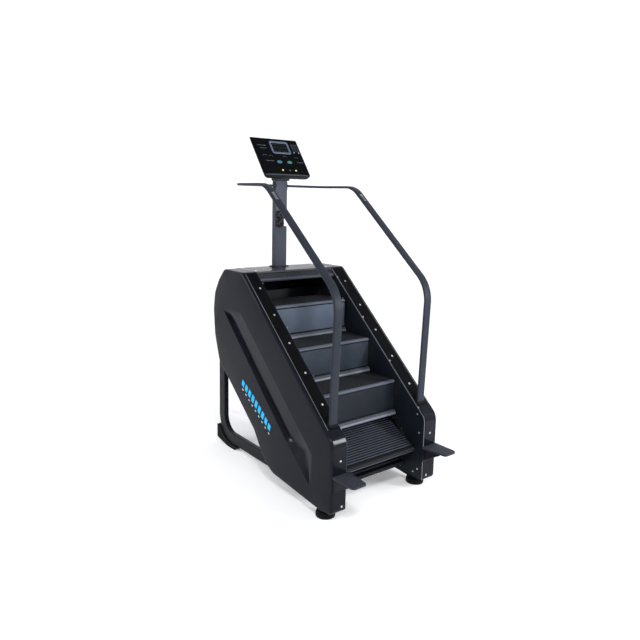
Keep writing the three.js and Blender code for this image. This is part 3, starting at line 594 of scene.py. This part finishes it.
def leg(side):
    corners = [(-200, 30), (770, 30, 185), (770, 655, 30), (470, 655), (470, 593), (695, 593, 10),
               (695, 105, 110), (-200, 105)]
    obj = prism(f"leg_{side}", arc_outline(corners, 6), 272, 305.7, STEEL_PAINT, "frame_paint",
                bevel=6, segments=4)
    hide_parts(f"rear_leg_{side}")
    # The shoe's upper side follows the leg's bend.
    seat = arc_outline([(490, 29.6), (770.4, 29.6, 185.4), (770.4, 160)], 6)
    under = arc_outline([(785, 122, 4), (785, 26, 10), (648, 0, 12), (548, 0, 12), (520, 29.6)], 8)
    rise = [p for p in seat if p.x > 520 and p.y < 122]
    obj = prism(f"shoe_{side}", [*under, *rise, Vector((770.4, 122))], 266, 315.7, RUBBER, "rubber",
                bevel=2.2, segments=3)
    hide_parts(f"rear_shoe_{side}")


def foot(side):
    at, up, body = (355, -510, 0), (0, 0, 1), f"foot_{side}"
    profile = [(0, 0), (49, 0), (53, 2), (55, 7), (55, 16), (52.5, 18), (52.5, 21), (54, 23), (52, 30),
               (36, 38), (18, 43), (12, 44), (9, 50), (7.4, 52), (7.4, 118), (6, 120), (0, 120)]
    obj = turned(f"levelling_foot_{side}", profile, at, up, 40, RUBBER, "rubber", body)
    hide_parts(f"front_foot_{side}")
    turned(f"foot_nut_{side}", [(13, 40), (15, 42), (15, 44.5), (13, 45.4)], at, up, 6, ZINC, "steel", body,
           bevel=0.4)


def mounting_step(side):
    back, tip = FRONT_Y - 0.3, -785
    corners = [(284, back), (304, tip, 20), (404, tip, 24), (404, back)]
    bm = bmesh.new()
    upright(bm, arc_outline(corners, 7), 268, 280)
    obj = to_object(f"step_plate_{side}", bm, STEP_PAD, "frame_paint", bevel=2.5, segments=3)
    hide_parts(f"mounting_step_{side}")
    bm = bmesh.new()
    for y in range(-770, -641, 16):
        box(bm, 314, 392, y, y + 6, 279.6, 281.2)
    to_object(f"step_ribs_{side}", bm, STEP_PAD, "frame_paint", bevel=0.7)
    bm = bmesh.new()
    for x in (300, 392):
        across(bm, arc_outline([(back, 192), (back, 269), (tip + 42, 269), (tip + 42, 262, 6)]), x, x + 6)
    box(bm, 288, 400, back - 5, back, 186, 272)
    to_object(f"step_bracket_{side}", bm, STEEL_PAINT, "frame_paint", bevel=1.2)
    spots = [((x, back - 5, z), (0, -1, 0), 6, 4) for x in (312, 368) for z in (208, 246)]
    screws(f"step_bolts_{side}", spots)


# ---------- stairs ----------

DECK_RIBS = 13


def deck_profile():
    """Cross-section of a tread: u from the riser behind to the rounded front, v up."""
    rib, first = 3.2, 8
    spacing = (GOING - 24 - first) / DECK_RIBS
    corners = [(-19, -TREAD_THICK, 1.5), (-19, -rib, 1)]
    for i in range(DECK_RIBS):
        u = first + i * spacing
        width = spacing * 0.55
        corners += [(u, -rib), (u + 0.5, -0.9), (u + 1.6, 0), (u + width - 1.6, 0), (u + width - 0.5, -0.9),
                    (u + width, -rib)]
    front = GOING - 20
    corners += [(front, -rib), (front + 1.2, 0), (GOING, 0, 10.8), (GOING, -TREAD_THICK, 10.8)]
    return corners


def deck(name, body, origin, along, upwards):
    """Ribbed tread with dark end caps and a nosing."""
    def outline(profile):
        return arc_outline(place(profile, origin, along, upwards), 12)

    obj = prism(name, outline(deck_profile()), -TREAD_HALF + 3, TREAD_HALF - 3, DECK, "step_paint", body,
                smooth=40)
    cap = outline([(-19, -TREAD_THICK, 2), (-19, 0, 2), (GOING, 0, 10.9), (GOING, -TREAD_THICK, 10.9)])
    bm = bmesh.new()
    for x in (-TREAD_HALF - 4.5, TREAD_HALF - 3.2):
        across(bm, cap, x, x + 7.7)
    to_object(f"{name}_caps", bm, RUBBER, "step_paint", body, bevel=0.8)
    front = GOING - 19
    nose = outline([(front, -7), (front + 0.6, 0.5, 0.4), (GOING + 0.4, 0.5, 11),
                    (GOING + 0.4, 4 - TREAD_THICK, 6), (GOING - 10, 4 - TREAD_THICK)])
    prism(f"{name}_nosing", nose, -TREAD_HALF + 3.5, TREAD_HALF - 3.5, DECK if name == "deck_4" else NOSE,
          "step_paint", body, smooth=40)
    return obj


def hanger(name, body, origin, along, upwards):
    """Folded lug under a tread, and the rod that reaches the chains."""
    top = 1 - TREAD_THICK
    lug = place([(-4, top), (4, -LUG_DROP), (20, -LUG_DROP), (28, top)], origin, along, upwards)
    prism(f"{name}_lug", lug, -TREAD_HALF + 20, TREAD_HALF - 20, STEEL_PAINT, "step_paint", body, bevel=1.5)
    (y, z), = place([(ROD_U, -ROD_DROP)], origin, along, upwards)
    bm = bmesh.new()
    rod(bm, (-283.4, y, z), (283.4, y, z), 7, 16)
    to_object(f"{name}_rod", bm, MACHINED, "steel", body)


def climbing_step(k):
    nose = NOSING + Vector((0, -(k - 2) * GOING, -(k - 2) * RISE))
    lie = nose + Vector((0, GOING, 0)), (0, -1, 0), (0, 0, 1)
    obj = deck(f"deck_{k}", f"step_{k}", *lie)
    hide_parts(f"tread_{k}")
    hanger(f"deck_{k}", f"step_{k}", *lie)
    riser(f"riser_face_{k}", f"step_{k}", nose.y, nose.z, f"riser_{k}")


def riser(name, body, y, top, replaced):
    """Painted plate with a turned-in top and the round hinge bar along its foot."""
    foot_z = top - RISE
    under = top - TREAD_THICK - 1
    corners = [(y + 4, foot_z + 32, 1), (y + 8, foot_z + 32), (y + 8, foot_z + 1.5), (y + 13, foot_z + 1.5),
               (y + 13, under), (y + 4, under, 2)]
    # The second and third risers take the darker copies of the paint, which paint the shade down the stair.
    paint = {"riser_2": RISER_PAINTED_SHADE_MID, "riser_3": RISER_PAINTED_SHADE_LOW}.get(replaced, RISER)
    obj = prism(name, arc_outline(corners), -TREAD_HALF, TREAD_HALF, paint, "step_paint", body, bevel=0.8)
    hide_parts(replaced)
    hinge_bar(f"{name}_bar", body, y - 13, foot_z + 9.2, 8.7, 1.2)
    leaf = [(y - 15, foot_z + 14, 1), (y + 4, foot_z + 14), (y + 4, foot_z + 29), (y - 13, foot_z + 29, 3)]
    prism(f"{name}_hinge", arc_outline(leaf), -TREAD_HALF, TREAD_HALF, HINGE, "step_paint", body, bevel=0.5)
    # A dark strip paints the shadow in the gap over the hinge leaf; dark strips also run down the riser's
    # ends.
    bm = bmesh.new()
    box(bm, -TREAD_HALF, TREAD_HALF, y + 2.5, y + 8, foot_z + 29, foot_z + 37)
    for x in (-TREAD_HALF - 4.5, TREAD_HALF):
        box(bm, x, x + 4.5, y + 3, y + 13, foot_z + 2, under)
    to_object(f"{name}_painted_shadow_and_end_strips", bm, RUBBER, "step_paint", body, bevel=0.4)


def hinge_bar(name, body, y, z, radius, chamfer):
    bm = bmesh.new()
    rod(bm, (-TREAD_HALF, y, z), (TREAD_HALF, y, z), radius, 28, chamfer)
    to_object(name, bm, BAR, "step_paint", body, smooth=40)


def tipped_step():
    """The lowest step, which tips over as it rounds the lower sprockets."""
    tilt = radians(26.5)
    along = Vector((0, -cos(tilt), -sin(tilt)))
    upwards = Vector((0, -sin(tilt), cos(tilt)))
    origin = Vector((0, -575, 258)) - along * GOING
    lie = origin, along, upwards
    obj = deck("deck_4", "step_4", *lie)
    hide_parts("tread_4")
    bm = bmesh.new()
    spacing = (GOING - 32) / DECK_RIBS
    for i in range(-4, DECK_RIBS):
        u = 8 + i * spacing + 1.5
        strip = place([(u, -3.0), (u, 0.5), (u + 5.0, 0.5), (u + 5.0, -3.0)], *lie)
        across(bm, strip, -TREAD_HALF + 4, TREAD_HALF - 4)
    to_object("deck_4_ribs", bm, DECK_TOP, "step_paint", "step_4")
    apron = place([(-66, -3.2), (-18, -3.2), (-18, -9), (-66, -9)], *lie)
    prism("deck_4_apron", apron, -TREAD_HALF + 1, TREAD_HALF - 1, DECK, "step_paint", "step_4", bevel=0.8)
    hanger("deck_4", "step_4", *lie)
    plate = place([(50, -50), (GOING - 4, -TREAD_THICK - 1), (GOING - 6, -TREAD_THICK - 10), (50, -59)], *lie)
    obj = prism("riser_face_4", plate, -TREAD_HALF, TREAD_HALF, RISER, "step_paint", "step_4", bevel=1)
    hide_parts("riser_4")
    end = origin + along * 50 - upwards * 55
    hinge_bar("riser_face_4_bar", "step_4", end.y, end.z, 12, 1.5)


# ---------- chains ----------

def chain_centres():
    """Middles of the lower and upper sprockets, from the CAD sprockets' boxes."""
    low = [(a + b) / 2 / MM for a, b in zip(*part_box("lower_sprocket_shaft"))]
    high = [(a + b) / 2 / MM for a, b in zip(*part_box("upper_sprocket_right"))]
    return Vector((0, low[1], low[2])), Vector((0, high[1], high[2]))


def chain_point(distance):
    """Position and direction on the chain's loop, from the lower end of the climbing side."""
    low, high = chain_centres()
    straight = (high - low).length
    half = pi * SPROCKET_R
    distance %= 2 * straight + 2 * half
    if distance < half:
        centre, angle = low, distance / SPROCKET_R
    elif distance < half + straight:
        return low - OUTWARD * SPROCKET_R + UPHILL * (distance - half), UPHILL, -OUTWARD
    elif distance < 2 * half + straight:
        centre, angle = high, (distance - straight) / SPROCKET_R
    else:
        run = distance - 2 * half - straight
        return high + OUTWARD * SPROCKET_R - UPHILL * run, -UPHILL, OUTWARD
    normal = OUTWARD * cos(angle) - UPHILL * sin(angle)
    travel = -OUTWARD * sin(angle) - UPHILL * cos(angle)
    return centre + normal * SPROCKET_R, travel, normal


def chain(side):
    """Roller chain: round-ended plates in pairs, with rollers between them."""
    low, high = chain_centres()
    total = 2 * (high - low).length + 2 * pi * SPROCKET_R
    links = round(total / CHAIN_PITCH)
    pitch = total / links
    bm = bmesh.new()
    for i in range(links):
        a, _, _ = chain_point(i * pitch)
        b, _, _ = chain_point((i + 1) * pitch)
        along = (b - a).normalized()
        out = Vector((0, -along.z, along.y))
        middle = (a + b) / 2
        reach = (b - a).length / 2
        plate = []
        for end, start in ((-1, 90), (1, -90)):
            for q in range(0, 181, 30):
                angle = radians(start + q)
                plate.append((end * reach + 6.0 * cos(angle), 6.0 * sin(angle)))
        flat = place(plate, middle, along, out)
        gap = 0 if i % 2 else 1.5
        for x in (284.2 + gap, 294.3 - gap):
            across(bm, flat, x, x + 1.4)
        rod(bm, (285.6, a.y, a.z), (294.4, a.y, a.z), 4.4, 10, 0.3)
    obj = to_object(f"chain_{side}", bm, MACHINED, "steel", smooth=35)
    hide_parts(f"stair_chain_{side}")


# ---------- mast, rails and console ----------

def rounded_rect(x0, x1, y0, y1, radius):
    return arc_outline([(x0, y0, radius), (x1, y0, radius), (x1, y1, radius), (x0, y1, radius)], 15)


def mast():
    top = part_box("mast")[1].z / MM
    bm = bmesh.new()
    upright(bm, rounded_rect(-47, 47, 468, 508, 3.5), 1250.4, top)
    # The mast takes the lighter copy of the rail paint, which paints the light on it.
    obj = to_object("mast_tube", bm, MAST_PAINTED_LIGHT, "rail_paint")
    for bore, z0, z1 in ((rounded_rect(-44, 44, 471, 505, 2.5), 1240, top + 10),
                         (rounded_rect(-10, 60, 450, 503, 6), 1535, 1605)):
        bm = bmesh.new()
        upright(bm, bore, z0, z1)
        cut(obj, bm)
    obj.data.shade_smooth()
    obj.data.set_sharp_from_angle(angle=radians(30))
    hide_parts("mast")
    bm = bmesh.new()
    upright(bm, rounded_rect(-62, 62, 458, 518, 8), TOP_Z + 0.3, TOP_Z + 6.5)
    base = to_object("mast_base", bm, STEEL_PAINT, "rail_paint", bevel=1.2)
    cut_boxes(base, (-47.3, 47.3, 467.7, 508.3, 1200, 1300))
    bm = bmesh.new()
    # Clamp plate and stud seen in the mast's cut-out.
    box(bm, -8, 30, 498, 502, 1540, 1600)
    rod(bm, (-22, 467, 1584), (-22, 500, 1584), 4, 14)
    to_object("mast_fixings", bm, STEEL_PAINT, "steel", bevel=0.4)


def knob(level):
    low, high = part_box(f"mast_knob_{level}")
    centre = (low + high) / 2 / MM
    lobes, sides = 7, 84
    y_front, y_back = low.y / MM, 462.0
    bm = bmesh.new()
    rings = []
    for scale, y in ((0.0, y_front + 2.0), (0.35, y_front + 1.6), (0.42, y_front), (0.8, y_front),
                     (0.93, y_front + 1.2), (1.0, y_front + 5), (1.0, y_back - 6), (0.9, y_back - 1),
                     (0.55, y_back), (0.36, y_back), (0.36, 467.6), (0.0, 467.6)):
        ring = []
        for i in range(sides):
            angle = 2 * pi * i / sides
            lobe = 24.6 + 2.4 * cos(lobes * angle) if scale > 0.5 else 24.6
            r = max(lobe * scale, POLE)
            ring.append(bm.verts.new((centre.x + r * cos(angle), y, centre.z + r * sin(angle))))
        rings.append(ring)
    tube(bm, rings)
    obj = to_object(f"star_knob_{level}", bm, KNOB, "rubber", f"{level}_knob", smooth=40)
    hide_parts(f"mast_knob_{level}")
    turned(f"star_knob_{level}_cap", [(8, 0), (8, 0.8), (6.5, 1.4), (0, 1.6)],
           (centre.x, y_front + 1.9, centre.z), (0, -1, 0), 24, RUBBER, "steel", f"{level}_knob")


def rail_path():
    """Centre line of the right handrail, with circular bends."""
    corners = [Vector(p) for p in ((RAIL_X, -535, 478), (RAIL_X, -559, 1231), (RAIL_X, 126, 1802),
                                   (RAIL_X, 480, 1802), (47.4, 480, 1802))]
    reaches = (0, 95, 65, 92, 0)
    out = [corners[0]]
    for i in range(1, len(corners) - 1):
        here = corners[i]
        a = (corners[i - 1] - here).normalized()
        b = (corners[i + 1] - here).normalized()
        half = math.acos(a.dot(b)) / 2
        reach = reaches[i]
        radius = reach * math.tan(half)
        centre = here + (a + b).normalized() * (radius / sin(half))
        s = (here + a * reach) - centre
        e = (here + b * reach) - centre
        turn = s.angle(e)
        for k in range(17):
            f = k / 16
            out.append(centre + (s * sin((1 - f) * turn) + e * sin(f * turn)) / sin(turn))
    return out + [corners[-1]]


def sweep(bm, path, section, wide=Vector((-1, 0, 0))):
    """Sweeps a section [along wide, across it] without twist."""
    rings = []
    side = wide.copy()
    for i, p in enumerate(path):
        ahead = tangent(path, i)
        if rings:
            side = last.rotation_difference(ahead) @ side
        side = (side - ahead * side.dot(ahead)).normalized()
        other = ahead.cross(side)
        rings.append([bm.verts.new(p + side * u + other * v) for u, v in section])
        last = ahead
    tube(bm, rings)


def flat_oval(wide, thick, pieces=8):
    half = (wide - thick) / 2
    out = []
    for sign, start in ((1, -90), (-1, 90)):
        for k in range(pieces + 1):
            angle = radians(start + 180 * k / pieces)
            out.append((sign * half + thick / 2 * cos(angle), thick / 2 * sin(angle)))
    return out


def handrail(side):
    bm = bmesh.new()
    sweep(bm, rail_path(), flat_oval(RAIL_WIDE, RAIL_THICK))
    obj = to_object(f"rail_{side}", bm, RAIL, "rail_paint", smooth=50)
    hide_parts(f"handrail_{side}")
    # Pulse sensor let into the upper part of the slanted run.
    a, b = Vector((RAIL_X, 17.5, 1711.5)), Vector((RAIL_X, 67.5, 1753.4))
    along = (b - a).normalized()
    out = Vector((0, -along.z, along.y))
    bm = bmesh.new()
    rings = []
    for f, lift in ((0, 6.9), (0.04, 8.4), (0.96, 8.4), (1, 6.9)):
        p = a.lerp(b, f)
        rings.append([bm.verts.new(Vector((x, p.y, p.z)) + out * h)
                      for x, h in ((330, 6.5), (332, lift), (350, lift), (352, 6.5))])
    tube(bm, rings)
    to_object(f"pulse_grip_{side}", bm, CHROME, "steel", bevel=0.5)
    # Collar where the rail enters the cover, standing on the slope's strip.
    bm = bmesh.new()
    middle = -536.6 + OUTWARD.y * STRIP_THICK
    rings = []
    for grow, lift in ((7, 0), (7, 3), (5, 5), (1.2, 6)):
        lift += STRIP_THICK / OUTWARD.z
        rings.append([bm.verts.new((RAIL_X + u, middle + v, slope_z(middle + v) + lift))
                      for u, v in flat_oval(RAIL_WIDE + 2 * grow, RAIL_THICK + 2 * grow)])
    tube(bm, rings)
    to_object(f"rail_collar_{side}", bm, RUBBER, "rubber", smooth=40)
    flange = arc_outline([(470, 1772, 6), (492, 1772, 6), (492, 1828, 6), (470, 1828, 6)])
    prism(f"rail_flange_{side}", flange, 47.2, 49.5, RAIL, "rail_paint", bevel=0.8)


FACE_UP = Vector((0, sin(CONSOLE_TILT), cos(CONSOLE_TILT)))
FACE_OUT = Vector((0, -cos(CONSOLE_TILT), sin(CONSOLE_TILT)))
FACE_BASE = Vector((0, 390, 1862))
FACE_W, FACE_H, FACE_DEEP = 373, 311, 34
PRINT_BACK = -1.2                            # where the pieces on the face start, in its own depth


def on_face(u, v, w=0.0):
    """Point on the console: u across from its middle, v up from its lower edge, w out of its face."""
    return FACE_BASE + Vector((u, 0, 0)) + FACE_UP * v + FACE_OUT * w


def face_ring(bm, outline, w):
    return [bm.verts.new(on_face(p[0], p[1], w)) for p in outline]


def face_slab(bm, outline, w0, w1, shrink=0.0):
    tops = inset([Vector(p) for p in outline], shrink) if shrink else outline
    tube(bm, [face_ring(bm, outline, w0), face_ring(bm, tops, w1)])


def face_rect(u0, u1, v0, v1, radius, step=12):
    return arc_outline([(u0, v0, radius), (u1, v0, radius), (u1, v1, radius), (u0, v1, radius)], step)


def ellipse(u, v, ru, rv, sides=32):
    return [Vector((u + ru * c, v + rv * s)) for c, s in circle(sides)]


def console():
    half = FACE_W / 2

    def rim(inward, low):
        """Outline of the housing, drawn in at the sides and the top, and by low at the bottom."""
        wide, high = half - inward, FACE_H - inward
        foot, head = max(24 - inward, 8), max(11 - inward, 4)
        return arc_outline([(-wide, low, foot), (wide, low, foot), (wide, high, head), (-wide, high, head)],
                           8)

    bm = bmesh.new()
    rings = [face_ring(bm, rim(inward, low), w) for inward, low, w in (
        (42, 14, -FACE_DEEP), (34, 4, -FACE_DEEP + 3), (26, 0, -FACE_DEEP + 10), (14, 0, -18), (4, 0, -6),
        (0, 0, -2.5), (0.8, 0.8, -0.8), (2.5, 2.5, 0), (5.5, 5.5, 0), (6.5, 6.5, -1.5), (6.5, 6.5, -5))]
    tube(bm, rings)
    obj = to_object("console_shell", bm, SHELL, "console_plastic", smooth=40)
    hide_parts("console_housing")
    bm = bmesh.new()
    face_slab(bm, inset(rim(0, 0), 6.8), -5.5, -1.2, 0.6)
    obj = to_object("console_face", bm, GLOSS, "console_plastic")
    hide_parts("console_fascia")
    # Lip along the lower edge that keeps a tablet from sliding off.
    bm = bmesh.new()
    rings = []
    for k in range(25):
        u = -half + 16 + (FACE_W - 32) * k / 24
        height = 2.5 + 8.5 * (1 - (abs(k - 12) / 12) ** 6)
        rings.append([bm.verts.new(on_face(u, 9 + 5 * c, height * (0.5 + 0.5 * s) - 0.5))
                      for c, s in circle(12)])
    tube(bm, rings)
    to_object("console_ledge", bm, HEADER_LIP, "console_plastic", smooth=50)
    face_details()


def face_details():
    def at(a, b):
        """Place on the face, from shares of its width and height."""
        return (a - 0.5) * FACE_W, b * FACE_H

    (u0, v0), (u1, v1) = at(0.37, 0.595), at(0.775, 0.93)
    window = face_rect(u0, u1, v0, v1, 17)
    bm = bmesh.new()
    rings = [face_ring(bm, inset(window, inward), w)
             for inward, w in ((0, -1.3), (0, 1.2), (1.5, 2.6), (12, 2.6), (14, 1.2), (15, -1.0))]
    join_rings(bm, rings + rings[:1])
    to_object("screen_bezel", bm, BEZEL, "display_lens", smooth=40)
    bm = bmesh.new()
    face_slab(bm, inset(window, 15.3), -1.0, 0.6, 0.5)
    obj = to_object("screen_glass", bm, SCREEN, "display_lens")
    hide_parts("display_screen")
    # Faint read-outs on the screen: a grid of blank cells.
    bm = bmesh.new()
    for row in range(3):
        for col in range(4):
            u, v = u0 + 20 + col * 28, v0 + 18 + row * 26
            face_slab(bm, face_rect(u, u + 22, v, v + 16, 2), 0.55, 0.75)
    to_object("screen_cells", bm, SCREEN_CELL, "display_lens")

    bm = bmesh.new()
    for col in range(3):
        for row in range(5):
            u, v = at(0.845 + 0.052 * col, 0.69 + 0.043 * row)
            face_slab(bm, face_rect(u - 7, u + 7, v - 4.4, v + 4.4, 2), PRINT_BACK, 0.9, 0.6)
    to_object("keypad", bm, KEYPAD, "console_plastic")
    bm = bmesh.new()
    for a in (0.846, 0.95):
        face_slab(bm, ellipse(*at(a, 0.655), 3.4, 3.4, 20), PRINT_BACK, 1.0, 0.5)
    to_object("white_dots", bm, PRINT_WHITE, "console_plastic")
    bm = bmesh.new()
    bow = [(cos(radians(a)), sin(radians(a))) for a in range(20, 161, 10)]
    for a, b in ((0.18, 0.53), (0.30, 0.52), (0.60, 0.52), (0.84, 0.50)):
        u, v = at(a, b)
        outer = [Vector((u + 17 * c, v - 6 + 15 * s)) for c, s in bow]
        inner = [Vector((u + 14.5 * c, v - 6 + 12.5 * s)) for c, s in bow[::-1]]
        face_slab(bm, outer + inner, PRINT_BACK, -0.6)
    for a, b, c in ((0.17, 0.335, 0.40), (0.82, 0.96, 0.39), (0.10, 0.28, 0.80), (0.14, 0.28, 0.73)):
        (left, v), (right, _) = at(a, c), at(b, c)
        face_slab(bm, face_rect(left, right, v - 2.2, v + 2.2, 2), PRINT_BACK, -0.6)
    to_object("printed_marks", bm, PRINT_GREY, "console_plastic")
    for name, share, mat in (("lamp_a", 0.44, LAMP), ("lamp_b", 0.59, LAMP_DIM), ("lamp_c", 0.72, LAMP)):
        turned(name, [(5.5, 0), (5.5, 1.4), (4.6, 2.4), (2.6, 3.2), (0, 3.4)],
               on_face(*at(share, 0.165), PRINT_BACK), FACE_OUT, 24, mat, "console_plastic",
               smooth=50)
    # The key caps take the faintly glowing key colours: painted light.
    for key, label, paint in (("start", "start_button", KEY_BLUE_PAINTED_GLOW), ("stop", "stop_button", KEY_GREEN_PAINTED_GLOW)):
        low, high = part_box(label)
        mid = (low + high) / 2 / MM - FACE_BASE
        bm = bmesh.new()
        rings = [face_ring(bm, ellipse(mid.x, mid.dot(FACE_UP), max(20 * scale, POLE),
                                       max(11.5 * scale, POLE)), w)
                 for scale, w in ((1.0, -9), (1.0, -0.4), (0.97, 0.8), (0.85, 1.45), (0.6, 1.5), (0.0, 1.2))]
        tube(bm, rings)
        obj = to_object(f"{key}_key_cap", bm, paint, "button_plastic", f"{key}_key", smooth=50)
        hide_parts(label)


def neck():
    """Bracket that spreads from the mast's top to the back of the console."""
    low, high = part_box("console_neck")
    y0, y1, z0 = low.y / MM, high.y / MM, low.z / MM
    back = on_face(0, 0, -FACE_DEEP - 0.3)

    def plane_z(y):
        return back.z + (y - back.y) * FACE_UP.z / FACE_UP.y
    bm = bmesh.new()
    rings = []
    for share, half in ((0, 49), (0.35, 50.5), (0.7, 56), (1, 66)):
        rings.append([bm.verts.new((x, y, z0 + (plane_z(y) - z0) * share))
                      for x, y in ((-half, y0), (half, y0), (half, y1), (-half, y1))])
    tube(bm, rings)
    obj = to_object("neck_bracket", bm, RAIL, "frame_paint", bevel=3, segments=3)
    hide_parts("console_neck")


# ---------- carried-over CAD nodes ----------

CAD_FINISH = {
    STEEL_PAINT: ("side_frame", "bearing", "crossbeam", "control_box", "upper_shaft"),
    MACHINED: ("sprocket", "generator_pulley"),
    CAST: ("drive_pulley", "generator"),
    RUBBER: ("drive_belt",),
    DECK: ("return_step",),
}


def paint_cad():
    for name, obj in NODES.items():
        for mat, words in CAD_FINISH.items():
            if any(word in name for word in words):
                obj.data.materials.clear()
                obj.data.materials.append(mat)
                break


# ---------- studio ----------

def camera():
    azimuth, elevation, roll = radians(-38.42), radians(9.28), radians(1.28)
    back = Vector((sin(azimuth) * cos(elevation), -cos(azimuth) * cos(elevation),
                   sin(elevation)))
    right = Vector((cos(azimuth), sin(azimuth), 0))
    upward = back.cross(right)
    right, upward = (right * cos(roll) + upward * sin(roll),
                     upward * cos(roll) - right * sin(roll))
    data = bpy.data.cameras.new("camera")
    data.sensor_width = 36
    data.lens = 34.72
    data.shift_x = -0.0029
    data.shift_y = -0.0346
    obj = new_object("camera", data)
    obj.matrix_world = Matrix((
        (right.x, upward.x, back.x, -2.363),
        (right.y, upward.y, back.y, -2.968),
        (right.z, upward.z, back.z, 1.735),
        (0, 0, 0, 1)))
    bpy.context.scene.camera = obj


def light(name, at, aim, size, energy, color=(1, 1, 1)):
    data = bpy.data.lights.new(name, "AREA")
    data.shape = "RECTANGLE"
    data.size, data.size_y = size
    data.energy = energy
    data.color = color
    obj = new_object(name, data)
    obj.location = at
    obj.rotation_euler = (Vector(aim) - Vector(at)).to_track_quat("-Z", "Y").to_euler()


def studio():
    # Pale floor that curves up into a round wall.
    radius, bend, wall = 7.0, 1.6, 8.0
    profile = [(0.0, 0.0), (2.0, 0.0), (4.0, 0.0), (radius - bend, 0.0)]
    for k in range(1, 13):
        angle = pi / 2 * k / 12
        profile.append((radius - bend + bend * sin(angle), bend - bend * cos(angle)))
    profile.append((radius, wall))
    bm = bmesh.new()
    centre = bm.verts.new((0, 0, 0))
    rings = [[bm.verts.new((r * c, r * s, z)) for c, s in circle(96)] for r, z in profile[1:]]
    for i in range(len(rings[0])):
        j = (i + 1) % len(rings[0])
        bm.faces.new((centre, rings[0][i], rings[0][j]))
        for a, b in zip(rings, rings[1:]):
            bm.faces.new((a[i], b[i], b[j], a[j]))
    mesh = new_mesh("floor", bm)
    mesh.materials.append(FLOOR)
    mesh.shade_smooth()
    obj = new_object("floor", mesh)
    world = bpy.data.worlds.new("studio")
    world.use_nodes = True
    world.node_tree.nodes["Background"].inputs["Color"].default_value = (0.92, 0.95, 1.0, 1)
    world.node_tree.nodes["Background"].inputs["Strength"].default_value = 0.5
    bpy.context.scene.world = world
    light("key", (-2.2, -3.6, 4.4), (0, 0, 0.8), (1.0, 0.8), 120, (1, 0.99, 0.97))
    light("back_left", (-4.2, 2.4, 3.4), (0, 0, 0.7), (1.6, 1.2), 80, (0.96, 0.98, 1))
    light("fill_right", (1.9, -3.1, 1.9), (0, 0, 0.7), (0.5, 1.3), 95, (0.97, 0.98, 1))
    bpy.context.scene.view_settings.view_transform = "Standard"


# ---------- assembly ----------

for side in ("left", "right"):
    for build in (cover, cover_trim, graphic, inner_panel, leg, foot, mounting_step, chain, handrail):
        build(side)
top_and_back()
for number in (1, 2, 3):
    climbing_step(number)
tipped_step()
mast()
for level in ("upper", "lower"):
    knob(level)
console()
neck()
paint_cad()
camera()
studio()
